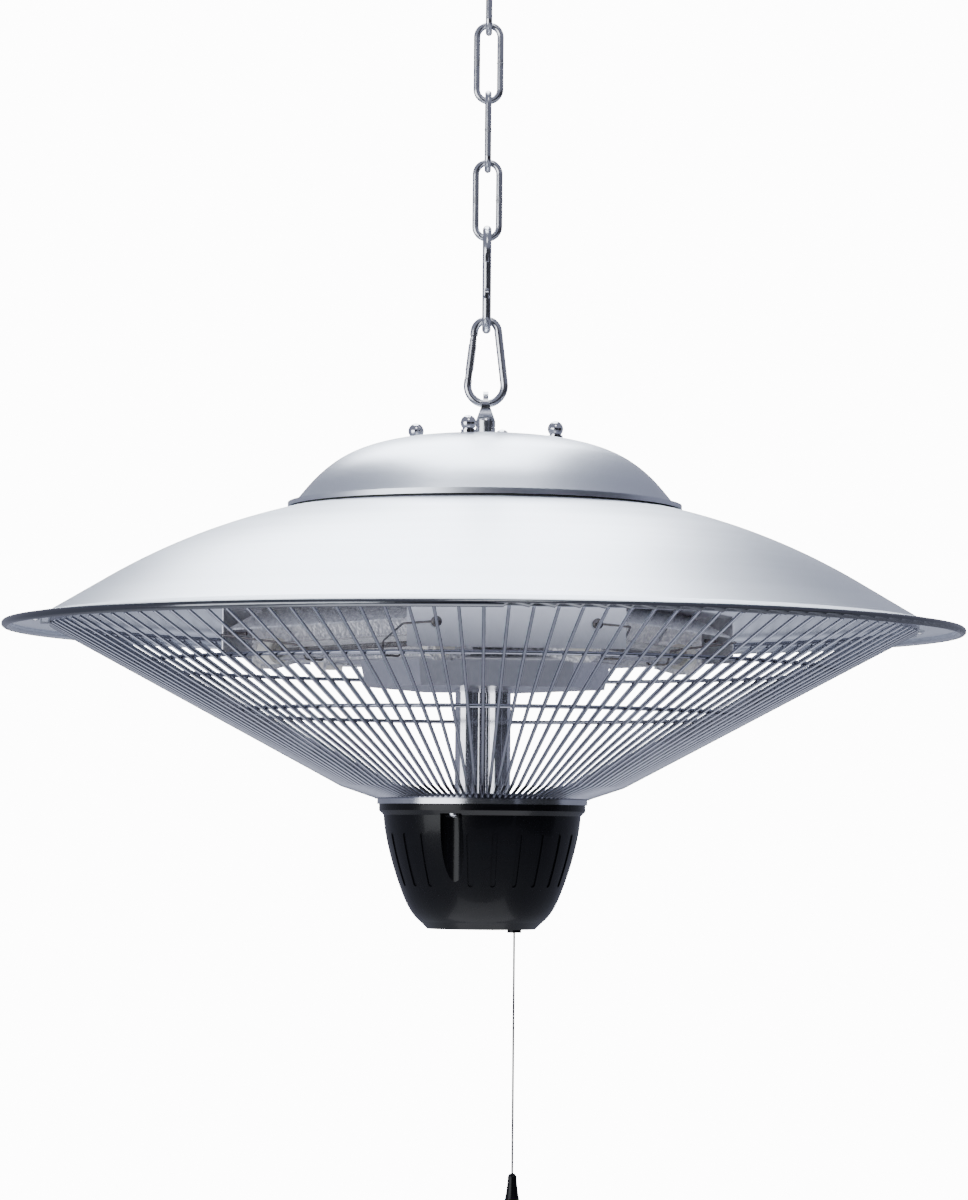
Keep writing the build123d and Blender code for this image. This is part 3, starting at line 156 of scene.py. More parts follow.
class Signal:
    """A number that changes over a surface, on which sums can be written."""

    def __init__(self, finish, socket):
        self.finish = finish
        self.socket = socket

    def _math(self, operation, *values):
        return self.finish.add("ShaderNodeMath", {"operation": operation}, dict(enumerate(values)))

    def __add__(self, other):
        return self._math("ADD", self, other)

    __radd__ = __add__

    def __sub__(self, other):
        return self._math("SUBTRACT", self, other)

    def __rsub__(self, other):
        return self._math("SUBTRACT", other, self)

    def __mul__(self, other):
        return self._math("MULTIPLY", self, other)

    def __truediv__(self, other):
        return self._math("DIVIDE", self, other)

    def __pow__(self, other):
        return self._math("POWER", self, other)

    def __abs__(self):
        return self._math("ABSOLUTE", self)

    def fraction(self):
        return self._math("FRACT", self)

    def sine(self):
        return self._math("SINE", self)

    def angle_from(self, other):
        return self._math("ARCTAN2", self, other)

    def ramp(self, low, high):
        """0 below one value and 1 above the other, with soft ends."""
        settings = {"interpolation_type": "SMOOTHSTEP"}
        return self.finish.add("ShaderNodeMapRange", settings, {0: self, 1: low, 2: high})


class Finish:
    """One material: fixed numbers on the shader's own sockets, and patterns that feed a few."""

    def __init__(self, name, **fixed):
        material = bpy.data.materials.new(name)
        material.use_nodes = True
        self.tree = material.node_tree
        self.tree.nodes.clear()
        output = self.tree.nodes.new("ShaderNodeOutputMaterial")
        self.shader = self.tree.nodes.new("ShaderNodeBsdfPrincipled")
        self.tree.links.new(self.shader.outputs[0], output.inputs[0])
        for socket, value in fixed.items():
            self.shader.inputs[socket.replace("_", " ")].default_value = value

    def add(self, kind, settings=None, values=None, output=0):
        """A node of the material; signals among its values become links."""
        values = {key: getattr(value, "socket", value) for key, value in (values or {}).items()}
        return Signal(self, new_node(self.tree, kind, settings, values, output))

    def place(self, centre=(0, 0, 0), scale=(1, 1, 1)):
        """Object coordinates, centred and scaled on the piece."""
        coordinates = self.add("ShaderNodeTexCoord", output="Object")
        values = {"Vector": coordinates, "Location": centre, "Scale": scale}
        return self.add("ShaderNodeMapping", {"vector_type": "POINT"}, values)

    def split(self, vector):
        """The three numbers of a vector."""
        return [self.add("ShaderNodeSeparateXYZ", None, {0: vector}, axis) for axis in range(3)]

    def noise(self, vector, scale, detail=2.0):
        """Soft random pattern between 0 and 1."""
        values = {"Vector": vector, "Scale": scale, "Detail": detail}
        return self.add("ShaderNodeTexNoise", {"noise_dimensions": "3D"}, values)

    def line_noise(self, value, scale, detail):
        """Random pattern that changes along one number only."""
        values = {"W": value, "Scale": scale, "Detail": detail}
        return self.add("ShaderNodeTexNoise", {"noise_dimensions": "1D"}, values)

    def cells(self, vector, scale, output="Distance"):
        """Pattern of cells, such as dents or grains."""
        values = {"Vector": vector, "Scale": scale}
        return self.add("ShaderNodeTexVoronoi", {"feature": "F1"}, values, output)

    def radius_about(self, vector):
        """Distance from the vertical axis of the placed coordinates."""
        x, y, _ = self.split(vector)
        return (x * x + y * y) ** 0.5

    def blend_colours(self, factor, low, high):
        """One colour where the factor is 0 and another where it is 1."""
        values = {"Factor": factor, 6: low, 7: high}
        return self.add("ShaderNodeMix", {"data_type": "RGBA"}, values, 2)

    def feed(self, socket, value):
        """Let a pattern drive one of the shader's sockets."""
        self.tree.links.new(value.socket, self.shader.inputs[socket])

    def shades(self, factor, base, low, high):
        """A step of the base colour where the factor is 0 and another where it is 1."""
        return self.blend_colours(factor, shade_of(base, low), shade_of(base, high))

    def colour(self, factor, base, low, high):
        """Let a pattern drive the colour between two steps of the base colour."""
        self.feed("Base Color", self.shades(factor, base, low, high))

    def bump(self, height, distance, strength):
        """Relief from a pattern, its full height in metres."""
        values = {"Strength": strength, "Distance": distance, "Height": height}
        self.feed("Normal", self.add("ShaderNodeBump", None, values))


def shade_of(colour, factor):
    """A lighter or darker step of a colour, opaque."""
    return tuple(min(1.0, part * factor) for part in colour[:3]) + (1.0,)


# ---------------------------------------------------------------- finishes


def satin_aluminium(colours):
    """Satin aluminium with the fine circles that spinning leaves, smooth on the bead, where a dark
    reflection is painted into the colour.
    """
    base = colours.aluminium
    finish = Finish("satin_aluminium", Metallic=1.0, Anisotropic=0.35)
    place = finish.place()
    radius = finish.radius_about(place)
    circles = finish.line_noise(radius, 2600.0, 3.0)
    bands = finish.line_noise(radius, 90.0, 1.0)
    clouds = finish.noise(place, 9.0)
    bead = radius.ramp(*PAINTED_DARK_BEAD_RADII)
    finish.feed("Roughness", 0.27 + circles * 0.10 + clouds * 0.05 - bead * 0.20)
    tint = (circles * 0.35 + bands * 0.35 + clouds * 0.3).ramp(0.3, 0.7)
    plain = finish.shades(tint, base, 0.94, 1.03)
    # The bead's colour is darkened to a fifth: a painted dark reflection
    finish.feed("Base Color", finish.blend_colours(bead, plain, shade_of(base, 0.2)))
    finish.bump(circles, 0.00002, 0.5)


def embossed_aluminium(colours):
    """Bright reflector sheet, pressed all over with small dents, with a painted glint that
    lightens the colour in the middle of each dent.
    """
    base = colours.reflector
    finish = Finish("embossed_aluminium", Metallic=0.8)
    place = finish.place()
    dents = finish.cells(place, 420.0)
    clouds = finish.noise(place, 30.0)
    finish.feed("Roughness", 0.38 + clouds * 0.16)
    # The colour is lighter in the middle of each dent: a painted glint
    finish.colour(dents.ramp(0.15, 0.65), base, 1.18, 1.0)
    finish.bump(dents, 0.0012, 1.0)


def brushed_aluminium(colours):
    """Smooth reflector sheet, rolled in one direction."""
    base = colours.reflector
    finish = Finish("brushed_aluminium", Metallic=1.0)
    fine = finish.noise(finish.place(scale=(40, 40, 2600)), 1.0)
    clouds = finish.noise(finish.place(), 14.0)
    finish.feed("Roughness", 0.24 + fine * 0.10 + clouds * 0.06)
    finish.colour(clouds, base, 0.90, 1.0)
    finish.bump(fine, 0.00002, 0.4)


def chrome(colours):
    """Mirror chrome with a trace of polish marks."""
    base = colours.chrome
    finish = Finish("chrome", Metallic=1.0)
    place = finish.place()
    polish = finish.noise(place, 160.0, 3.0)
    smear = finish.noise(place, 22.0)
    finish.feed("Roughness", 0.04 + smear * 0.07)
    finish.colour(smear, base, 0.92, 1.0)
    finish.bump(polish, 0.00001, 0.1)


def zinc_plate(colours):
    """Polished zinc plating on hooks, screws, clips and the collar's ring, a little cloudy."""
    base = colours.zinc
    finish = Finish("zinc_plate", Metallic=1.0)
    place = finish.place()
    clouds = finish.noise(place, 130.0, 3.0)
    grain = finish.noise(place, 900.0)
    finish.feed("Roughness", 0.14 + clouds * 0.14)
    finish.colour(clouds, base, 0.82, 1.02)
    finish.bump(grain, 0.00003, 0.5)


def plated_wire(colours):
    """Drawn and plated wire, dull and dark at the weld of each link."""
    base = colours.zinc
    finish = Finish("plated_wire", Metallic=1.0)
    place = finish.place()
    _, _, height = finish.split(place)
    middle = LINK_BARS[0] + LINK_HALF
    along = abs(((height - middle) / LINK_PITCH + 0.5).fraction() - 0.5)
    plain = along.ramp(0.035, 0.06)
    clouds = finish.noise(place, 200.0, 3.0)
    drawn = finish.noise(finish.place(scale=(1, 1, 0.06)), 1500.0)
    finish.feed("Roughness", 0.34 - plain * 0.20 + clouds * 0.14)
    finish.colour(plain * 0.6 + clouds * 0.4, base, 0.55, 1.0)
    finish.bump(drawn * 0.5 + clouds * 0.5, 0.00005, 0.6)


def guard_chrome(colours):
    """Bright chromed wire, slightly uneven."""
    base = colours.guard
    finish = Finish("guard_chrome", Metallic=1.0)
    place = finish.place()
    clouds = finish.noise(place, 60.0)
    finish.feed("Roughness", 0.13 + clouds * 0.12)
    finish.colour(clouds, base, 0.85, 1.0)
    finish.bump(finish.noise(place, 700.0), 0.00003, 0.5)


def spring_steel(colours):
    """Dark spring wire of the lamp retainers."""
    base = colours.spring
    finish = Finish("spring_steel", Metallic=1.0)
    clouds = finish.noise(finish.place(), 240.0, 3.0)
    finish.feed("Roughness", 0.22 + clouds * 0.15)
    finish.colour(clouds, base, 0.7, 1.1)
    finish.bump(clouds, 0.00003, 0.5)


def galvanised_sheet(colours):
    """Matt zinc sheet with the pale flowers of galvanising."""
    base = colours.sheet
    finish = Finish("galvanised_sheet", Metallic=1.0)
    place = finish.place()
    flower, _, _ = finish.split(finish.cells(place, 90.0, "Color"))
    clouds = finish.noise(place, 40.0, 3.0)
    finish.feed("Roughness", 0.38 + flower * 0.12 + clouds * 0.08)
    finish.colour(flower * 0.6 + clouds * 0.4, base, 0.8, 1.1)
    finish.bump(clouds, 0.00004, 0.4)


def gloss_black(colours):
    """Moulded black plastic with a shallow orange-peel gloss."""
    base = colours.plastic
    finish = Finish("gloss_black", IOR=1.24, Coat_Roughness=0.08)
    place = finish.place()
    peel = finish.noise(place, 420.0)
    dust = finish.noise(place, 60.0, 4.0)
    finish.feed("Roughness", 0.22 + dust * 0.10)
    finish.feed("Coat Weight", 0.12 - dust * 0.06)
    finish.colour(dust, base, 0.8, 1.4)
    finish.bump(peel, 0.00002, 0.4)


def matt_plastic(colours):
    """Plain moulded housing inside the cup, with a spark-eroded grain."""
    base = colours.housing
    finish = Finish("matt_plastic", IOR=1.5)
    place = finish.place()
    grain = finish.cells(place, 1400.0)
    clouds = finish.noise(place, 80.0)
    finish.feed("Roughness", 0.5 + grain * 0.2)
    finish.colour(clouds, base, 0.85, 1.15)
    finish.bump(grain, 0.00005, 0.5)


def dusty_rubber(colours):
    """Soft seal, matt with a dusty bloom."""
    base = colours.rubber
    finish = Finish("dusty_rubber", IOR=1.5)
    place = finish.place()
    bloom = finish.noise(place, 90.0, 4.0)
    finish.feed("Roughness", 0.62 + bloom * 0.2)
    finish.colour(bloom, base, 0.7, 1.5)
    finish.bump(finish.noise(place, 800.0), 0.00004, 0.5)


def clear_quartz(colours):
    """Thin clear tube: mostly see-through, brighter where it is drawn uneven."""
    finish = Finish("clear_quartz", IOR=1.46, Transmission_Weight=1.0)
    draw = finish.noise(finish.place(), 70.0)
    finish.feed("Roughness", 0.02 + draw * 0.06)
    finish.feed("Base Color", finish.blend_colours(draw, colours.quartz, (1.0, 1.0, 1.0, 1.0)))
    finish.bump(draw, 0.0001, 0.3)


def white_ceramic(colours):
    """Unglazed steatite of the lamp ends and the terminal block."""
    base = colours.ceramic
    finish = Finish("white_ceramic", IOR=1.55)
    place = finish.place()
    grain = finish.noise(place, 700.0, 3.0)
    specks = finish.cells(place, 500.0).ramp(0.02, 0.12)
    finish.feed("Roughness", 0.55 + grain * 0.2)
    finish.colour(specks, base, 0.8, 1.0)
    finish.bump(grain, 0.00006, 0.5)


def heating_wire(colours):
    """Oxidised resistance wire of the coils."""
    base = colours.coil
    finish = Finish("heating_wire", Metallic=0.8)
    oxide = finish.noise(finish.place(), 900.0, 3.0)
    finish.feed("Roughness", 0.45 + oxide * 0.2)
    finish.colour(oxide, base, 0.6, 1.3)
    finish.bump(oxide, 0.00004, 0.5)


def twisted_cord(colours):
    """Tight cord of three strands laid round one another."""
    base = colours.cord
    finish = Finish("twisted_cord", IOR=1.45)
    place = finish.place(centre=(-CORD_PLACE, 0, 0))
    x, y, height = finish.split(place)
    strands = (y.angle_from(x) * 3.0 + height * 3400.0).sine() * 0.5 + 0.5
    fibres = finish.noise(place, 3000.0)
    finish.feed("Roughness", 0.55 + fibres * 0.2)
    # The colour is darker in the grooves between the strands, a painted shade; the fibre noise is
    # the cord's own tone
    finish.colour(strands * 0.7 + fibres * 0.3, base, 0.55, 1.25)
    finish.bump(strands + fibres * 0.3, 0.0002, 0.9)


def studio_floor(colours):
    """Plain pale floor."""
    base = colours.floor
    finish = Finish("studio_floor", Roughness=0.8)
    clouds = finish.noise(finish.place(), 0.7)
    finish.colour(clouds, base, 0.99, 1.0)


def studio_flag(colours):
    """Dark cloths that only show in reflections."""
    base = colours.flag
    finish = Finish("studio_flag", Roughness=0.9)
    clouds = finish.noise(finish.place(), 3.0)
    finish.colour(clouds, base, 0.8, 1.0)


FINISH_MAKERS = {maker.__name__: maker for maker in (
    satin_aluminium, embossed_aluminium, brushed_aluminium, chrome, zinc_plate, plated_wire,
    guard_chrome, spring_steel, galvanised_sheet, gloss_black, matt_plastic, dusty_rubber,
    clear_quartz, white_ceramic, heating_wire, twisted_cord, studio_floor, studio_flag,
)}

# The finish that each slot of the packed model takes, and the nodes that differ from their slot.
# No finish has the name of a slot, because the packed model has a material of that name.
SLOT_FINISHES = {
    "bright_steel": "zinc_plate",
    "chain_steel": "plated_wire",
    "spun_aluminium": "satin_aluminium",
    "reflector_aluminium": "brushed_aluminium",
    "chrome_plate": "chrome",
    "guard_steel": "guard_chrome",
    "sheet_steel": "galvanised_sheet",
    "black_plastic": "gloss_black",
    "housing_plastic": "matt_plastic",
    "black_rubber": "dusty_rubber",
    "quartz": "clear_quartz",
    "ceramic_white": "white_ceramic",
    "coil_metal": "heating_wire",
    "cord_grey": "twisted_cord",
}
NODE_FINISHES = {
    "lamp_reflector_1": "embossed_aluminium",
    "lamp_reflector_2": "embossed_aluminium",
    "lamp_reflector_3": "embossed_aluminium",
    "collar_ring": "zinc_plate",
    "lamp_retainers": "spring_steel",
    "retainer_screws": "spring_steel",
}


def finish_called(name):
    """The material of a finish, made on its first use."""
    if name not in bpy.data.materials:
        FINISH_MAKERS[name](bpy.context.scene.heater_colours)
    return bpy.data.materials[name]


# ---------------------------------------------------------------- recipes


def bake(piece):
    """Let a piece keep what its modifiers show as one plain mesh."""
    shown = piece.evaluated_get(bpy.context.evaluated_depsgraph_get())
    piece.data = bpy.data.meshes.new_from_object(shown)
    piece.modifiers.clear()


class Recipe:
    """A tree of geometry nodes with named inputs for its sizes."""

    def __init__(self, name):
        self.group = bpy.data.node_groups.new(name, "GeometryNodeTree")
        self.group.interface.new_socket(
            "Geometry", in_out="OUTPUT", socket_type="NodeSocketGeometry")
        self.entry = self.group.nodes.new("NodeGroupInput")
        self.exit = self.group.nodes.new("NodeGroupOutput")
        self.finish = self.size("Finish", "NodeSocketMaterial")

    def size(self, name, kind="NodeSocketFloat"):
        """A named input, and the socket that gives it to the tree."""
        self.group.interface.new_socket(name, in_out="INPUT", socket_type=kind)
        return self.entry.outputs[name]

    def add(self, kind, settings=None, values=None, output=0):
        """A node of the recipe; sockets among its values become links."""
        return new_node(self.group, kind, settings, values, output)

    def sum(self, operation, *values):
        """The result of one sum."""
        return self.add("ShaderNodeMath", {"operation": operation}, dict(enumerate(values)))

    def point(self, x=0.0, y=0.0, z=0.0):
        """A place or a turn from three numbers."""
        return self.add("ShaderNodeCombineXYZ", None, {"X": x, "Y": y, "Z": z})

    def moved(self, geometry, place, turn=(0, 0, 0)):
        """Geometry turned and then moved to a place."""
        values = {"Geometry": geometry, "Translation": place, "Rotation": turn}
        return self.add("GeometryNodeTransform", None, values)

    def tube(self, path, diameter, sides):
        """Round wire along a path."""
        half = self.sum("DIVIDE", diameter, 2.0)
        values = {"Resolution": sides, "Radius": half}
        section = self.add("GeometryNodeCurvePrimitiveCircle", None, values)
        values = {"Curve": path, "Profile Curve": section, "Fill Caps": True}
        return self.add("GeometryNodeCurveToMesh", None, values)

    def around(self, geometry, count, first_angle):
        """Copies of a piece turned about the vertical axis."""
        places = self.add("GeometryNodeMeshLine", None, {"Count": count, "Offset": (0, 0, 0)})
        index = self.add("GeometryNodeInputIndex")
        step = self.sum("DIVIDE", 2 * pi, count)
        angle = self.sum("ADD", self.sum("MULTIPLY", index, step), first_angle)
        values = {"Points": places, "Instance": geometry, "Rotation": self.point(z=angle)}
        return self.add("GeometryNodeInstanceOnPoints", None, values)

    def end(self, geometry, smooth=True):
        """Make the copies real and give them their finish."""
        values = {"Geometry": geometry, "Shade Smooth": smooth}
        shaded = self.add("GeometryNodeSetShadeSmooth", None, values)
        real = self.add("GeometryNodeRealizeInstances", None, {"Geometry": shaded})
        values = {"Geometry": real, "Material": self.finish}
        painted = self.add("GeometryNodeSetMaterial", None, values)
        self.group.links.new(painted, self.exit.inputs[0])

    def piece(self, name, finish, **sizes):
        """Run the tree with these sizes and bake its result."""
        holder = bpy.data.objects.new(name, bpy.data.meshes.new(name))
        bpy.context.scene.collection.objects.link(holder)
        modifier = holder.modifiers.new("recipe", "NODES")
        modifier.node_group = self.group
        wanted = {key.replace("_", " ").capitalize(): value for key, value in sizes.items()}
        wanted["Finish"] = finish_called(finish)
        for item in self.group.interface.items_tree:
            if item.in_out == "INPUT":
                modifier[item.identifier] = wanted.pop(item.name)
        if wanted:
            raise ValueError("the recipe of " + name + " has no input " + ", ".join(wanted))
        bake(holder)
        if not holder.data.polygons:
            raise ValueError("the recipe of " + name + " made no faces")
        return holder


def guard_wire_recipe():
    """Bent wires from the guard's upper ring down to the collar, spaced evenly all round."""
    recipe = Recipe("guard_wire_recipe")
    count = recipe.size("Count", "NodeSocketInt")
    diameter = recipe.size("Diameter")
    bend = recipe.size("Bend radius")
    # Three points in a row, which then move to the wire's top, knee and foot
    path = recipe.add("GeometryNodeMeshLine", None, {"Count": 3, "Offset": (0.01, 0, 0)})
    path = recipe.add("GeometryNodeMeshToCurve", None, {"Mesh": path})
    for order, name in enumerate(("Top", "Knee", "Foot")):
        corner = recipe.point(recipe.size(name + " radius"), 0.0, recipe.size(name + " height"))
        values = {0: recipe.add("GeometryNodeInputIndex"), 1: float(order), 2: 0.1}
        chosen = recipe.add("ShaderNodeMath", {"operation": "COMPARE"}, values)
        path = recipe.add("GeometryNodeSetPosition", None, {
            "Geometry": path, "Selection": chosen, "Position": corner})
    values = {"Curve": path, "Radius": bend, "Count": 5, "Limit Radius": True}
    path = recipe.add("GeometryNodeFilletCurve", {"mode": "POLY"}, values)
    wire = recipe.tube(path, diameter, sides=10)
    recipe.end(recipe.around(wire, count, first_angle=0.0))
    return recipe


def wire_ring_recipe():
    """Closed round ring of wire about the vertical axis."""
    recipe = Recipe("wire_ring_recipe")
    values = {"Resolution": 180, "Radius": recipe.size("Radius")}
    path = recipe.add("GeometryNodeCurvePrimitiveCircle", None, values)
    ring = recipe.tube(path, recipe.size("Diameter"), sides=12)
    recipe.end(recipe.moved(ring, recipe.point(z=recipe.size("Height"))))
    return recipe


def coil_recipe():
    """Heating coils that lie along the lamps."""
    recipe = Recipe("coil_recipe")
    radius, length = recipe.size("Radius"), recipe.size("Length")
    values = {"Resolution": 12, "Rotations": recipe.size("Turns"), "Start Radius": radius,
              "End Radius": radius, "Height": length}
    path = recipe.add("GeometryNodeCurveSpiral", None, values)
    coil = recipe.tube(path, recipe.size("Diameter"), sides=5)
    half = recipe.sum("DIVIDE", length, 2.0)
    place = recipe.point(recipe.size("Distance"), half, recipe.size("Height"))
    coil = recipe.moved(coil, place, turn=(pi / 2, 0, 0))
    count = recipe.size("Count", "NodeSocketInt")
    recipe.end(recipe.around(coil, count, recipe.size("First angle")))
    return recipe


def screw_ring_recipe():
    """Copies of one screw, laid at a place and turned about the vertical axis."""
    recipe = Recipe("screw_ring_recipe")
    values = {"Object": recipe.size("Screw", "NodeSocketObject")}
    screw = recipe.add("GeometryNodeObjectInfo", None, values, "Geometry")
    turn = recipe.size("Turn", "NodeSocketVector")
    screw = recipe.moved(screw, recipe.size("Place", "NodeSocketVector"), turn)
    count = recipe.size("Count", "NodeSocketInt")
    recipe.end(recipe.around(screw, count, recipe.size("First angle")), smooth=False)
    return recipe


def thread_recipe():
    """Wood-screw thread: a long even run and a short one that narrows to the point."""
    recipe = Recipe("thread_recipe")
    radius, length, depth = recipe.size("Radius"), recipe.size("Length"), recipe.size("Depth")
    start, pitch = recipe.size("Start"), recipe.size("Pitch")
    point_radius, point_length = recipe.size("Point radius"), recipe.size("Point length")
    runs = []
    for first, last, run in ((radius, radius, length), (radius, point_radius, point_length)):
        turns = recipe.sum("DIVIDE", run, pitch)
        values = {"Resolution": 24, "Rotations": turns, "Start Radius": first, "End Radius": last,
                  "Height": run}
        runs.append(recipe.add("GeometryNodeCurveSpiral", None, values))
    low = recipe.moved(recipe.tube(runs[0], depth, sides=4), recipe.point(z=start))
    foot = recipe.sum("ADD", start, length)
    high = recipe.moved(recipe.tube(runs[1], depth, sides=4), recipe.point(z=foot))
    joined = recipe.group.nodes.new("GeometryNodeJoinGeometry")
    for run in (low, high):
        recipe.group.links.new(run, joined.inputs[0])
    recipe.end(joined.outputs[0], smooth=False)
    return recipe


def weld_bead_recipe():
    """Uneven bead of a butt weld round the leg of a chain link."""
    recipe = Recipe("weld_bead_recipe")
    values = {"Resolution": 28, "Radius": recipe.size("Radius")}
    path = recipe.add("GeometryNodeCurvePrimitiveCircle", None, values)
    bead = recipe.tube(path, recipe.size("Thickness"), sides=10)
    position = recipe.add("GeometryNodeInputPosition")
    where = recipe.add("ShaderNodeVectorMath", {"operation": "ADD"}, {
        0: position, 1: recipe.point(recipe.size("Seed"))})
    values = {"Vector": where, "Scale": 900.0, "Detail": 1.0}
    bumps = recipe.add("ShaderNodeTexNoise", None, values)
    lift = recipe.sum("MULTIPLY", recipe.sum("SUBTRACT", bumps, 0.5), recipe.size("Unevenness"))
    normal = recipe.add("GeometryNodeInputNormal")
    offset = recipe.add("ShaderNodeVectorMath", {"operation": "SCALE"}, {0: normal, "Scale": lift})
    bead = recipe.add("GeometryNodeSetPosition", None, {"Geometry": bead, "Offset": offset})
    recipe.end(recipe.moved(bead, recipe.size("Place", "NodeSocketVector")))
    return recipe


# ---------------------------------------------------------------- shapes made by hand


def object_of(name, mesh):
    """An object that holds a finished mesh."""
    data = bpy.data.meshes.new(name)
    mesh.to_mesh(data)
    mesh.free()
    return bpy.data.objects.new(name, data)


def turned_mesh(name, outline, sides):
    """Closed solid of revolution about the Z axis, from (radius, height) points."""
    mesh = bmesh.new()
    rings = []
    for radius, height in outline:
        # A point on the axis has one corner, which all sides share
        angles = [2 * pi * i / sides for i in range(sides if radius else 1)]
        rings.append([mesh.verts.new((radius * cos(a), radius * sin(a), height)) for a in angles])
    for one, two in zip(rings, rings[1:]):
        for i in range(sides):
            j = (i + 1) % sides
            corners = [one[i % len(one)], one[j % len(one)], two[j % len(two)], two[i % len(two)]]
            mesh.faces.new(list(dict.fromkeys(corners)))
    bmesh.ops.recalc_face_normals(mesh, faces=mesh.faces)
    return object_of(name, mesh)


def cross_cutter(name, reach, width, top, depth):
    """Cross-shaped cutter that narrows to its foot."""
    top_share, foot_share = 1.25, 0.45
    mesh = bmesh.new()
    for turn in (0, pi / 2):
        corners = []
        for height, share in ((top, top_share), (top - depth, foot_share)):
            for x, y in ((-1, -1), (1, -1), (1, 1), (-1, 1)):
                spot = Vector((x * reach * share, y * width * (0.6 + 0.4 * share), height))
                corners.append(mesh.verts.new(Matrix.Rotation(turn, 3, "Z") @ spot))
        for i in range(4):
            j = (i + 1) % 4
            mesh.faces.new((corners[i], corners[j], corners[j + 4], corners[i + 4]))
        mesh.faces.new(corners[:4])
        mesh.faces.new(corners[4:])
    bmesh.ops.recalc_face_normals(mesh, faces=mesh.faces)
    return object_of(name, mesh)


def cross_head_screw(name, head_radius, head_height, shank_radius, shank_length):
    """Domed screw with a cross recess; the head's underside is at the origin."""
    # The dome rises from 0.35 of the head's height
    outline = [(0, head_height)]
    for degrees in range(15, 91, 15):
        angle = radians(degrees)
        outline.append((head_radius * sin(angle), head_height * (0.35 + 0.65 * cos(angle))))
    outline += [(head_radius, 0.0), (shank_radius, 0.0)]
    outline += [(shank_radius, -shank_length), (0, -shank_length)]
    screw = turned_mesh(name, outline, sides=28)
    cutter = cross_cutter(
        name + "_cutter", reach=head_radius * 0.5, width=head_radius * 0.13,
        top=head_height + 0.2 * MM, depth=head_height * 0.85)
    for piece in (screw, cutter):
        bpy.context.scene.collection.objects.link(piece)
    cut = screw.modifiers.new("cut", "BOOLEAN")
    cut.operation = "DIFFERENCE"
    cut.solver = "EXACT"
    cut.use_self = True
    cut.object = cutter
    bake(screw)
    bpy.data.objects.remove(cutter)
    return screw


# ---------------------------------------------------------------- settings


def length_setting(name, description, default):
    """Setting in metres."""
    return bpy.props.FloatProperty(
        name=name, description=description, default=default, unit="LENGTH", precision=4)


def angle_setting(name, description, default):
    """Setting in radians, shown in degrees."""
    return bpy.props.FloatProperty(
        name=name, description=description, default=default, subtype="ANGLE")


def power_setting(name, description, default):
    """Setting in watts."""
    return bpy.props.FloatProperty(
        name=name, description=description, default=default, unit="POWER")


def colour_setting(name, description, default):
    """Opaque colour."""
    return bpy.props.FloatVectorProperty(
        name=name, description=description, default=default + (1.0,), size=4, subtype="COLOR",
        min=0.0, max=1.0)


class HeaterColours(bpy.types.PropertyGroup):
    """Base colours of the finishes."""

    aluminium: colour_setting("Aluminium", "Spun shade and dome", (0.81, 0.84, 0.90))
    reflector: colour_setting("Reflector", "Reflector sheets", (0.84, 0.84, 0.87))
    chrome: colour_setting("Chrome", "Posts and cap nuts", (0.78, 0.78, 0.81))
    zinc: colour_setting("Zinc", "Chain, hooks, clips and the collar's ring", (0.70, 0.71, 0.74))
    guard: colour_setting("Guard", "Guard wires and rings", (0.30, 0.31, 0.36))
    spring: colour_setting("Spring", "Lamp retainers and their screws", (0.16, 0.15, 0.15))
    sheet: colour_setting("Sheet", "Inner plates, washers and nuts", (0.60, 0.61, 0.63))
    plastic: colour_setting("Plastic", "Cup, knob and cable gland", (0.004, 0.004, 0.005))
    housing: colour_setting("Housing", "Switch housing", (0.06, 0.06, 0.06))
    rubber: colour_setting("Rubber", "Seals", (0.02, 0.02, 0.02))
    quartz: colour_setting("Quartz", "Lamp tubes", (0.97, 0.96, 0.94))
    ceramic: colour_setting("Ceramic", "Lamp ends and terminal block", (0.82, 0.80, 0.74))
    coil: colour_setting("Coil", "Heating coils", (0.20, 0.18, 0.17))
    cord: colour_setting("Cord", "Pull cord", (0.16, 0.16, 0.16))
    floor: colour_setting("Floor", "Studio floor", (0.86, 0.86, 0.88))
    flag: colour_setting("Flag", "Dark cloths seen in reflections", (0.02, 0.02, 0.022))


class GuardSizes(bpy.types.PropertyGroup):
    """Sizes of the wire guard."""

    wire_count: bpy.props.IntProperty(
        name="Wires", description="Number of radial wires", default=120)
    wire: length_setting("Wire", "Diameter of the radial wires", 2.0 * MM)
    bend: length_setting("Bend", "Bend radius at the knee of each wire", 6.0 * MM)
    top_radius: length_setting("Top radius", "Radius of the upper edge", 270.0 * MM)
    knee_radius: length_setting("Knee radius", "Radius at the knee", 88.0 * MM)
    knee_drop: length_setting("Knee drop", "Knee below the rim", 97.5 * MM)
    foot_radius: length_setting("Foot radius", "Radius at the collar", 66.9 * MM)
    foot_drop: length_setting("Foot drop", "Foot below the rim", 104.6 * MM)
    ring_wire: length_setting("Ring wire", "Diameter of the two inner rings", 2.6 * MM)
    top_ring_wire: length_setting("Top ring wire", "Diameter of the upper ring", 3.2 * MM)
    upper_inset: length_setting("Upper inset", "First inner ring, in from the edge", 48.0 * MM)
    lower_inset: length_setting("Lower inset", "Second inner ring, in from the edge", 102.0 * MM)
    weld_depth: length_setting("Weld depth", "How far a ring sinks into the wires", 0.15 * MM)


class LampSizes(bpy.types.PropertyGroup):
    """Sizes of the heating coils."""

    distance: length_setting("Distance", "Lamps from the middle of the heater", 101.0 * MM)
    drop: length_setting("Drop", "Lamps below the rim", 14.0 * MM)
    coil_radius: length_setting("Coil radius", "Radius of the heating coils", 1.45 * MM)
    coil_length: length_setting("Coil length", "Length of the heating coils", 146.0 * MM)
    coil_wire: length_setting("Coil wire", "Diameter of the coil's wire", 0.5 * MM)
    coil_turns: bpy.props.FloatProperty(
        name="Turns", description="Turns in each coil", default=104.0)


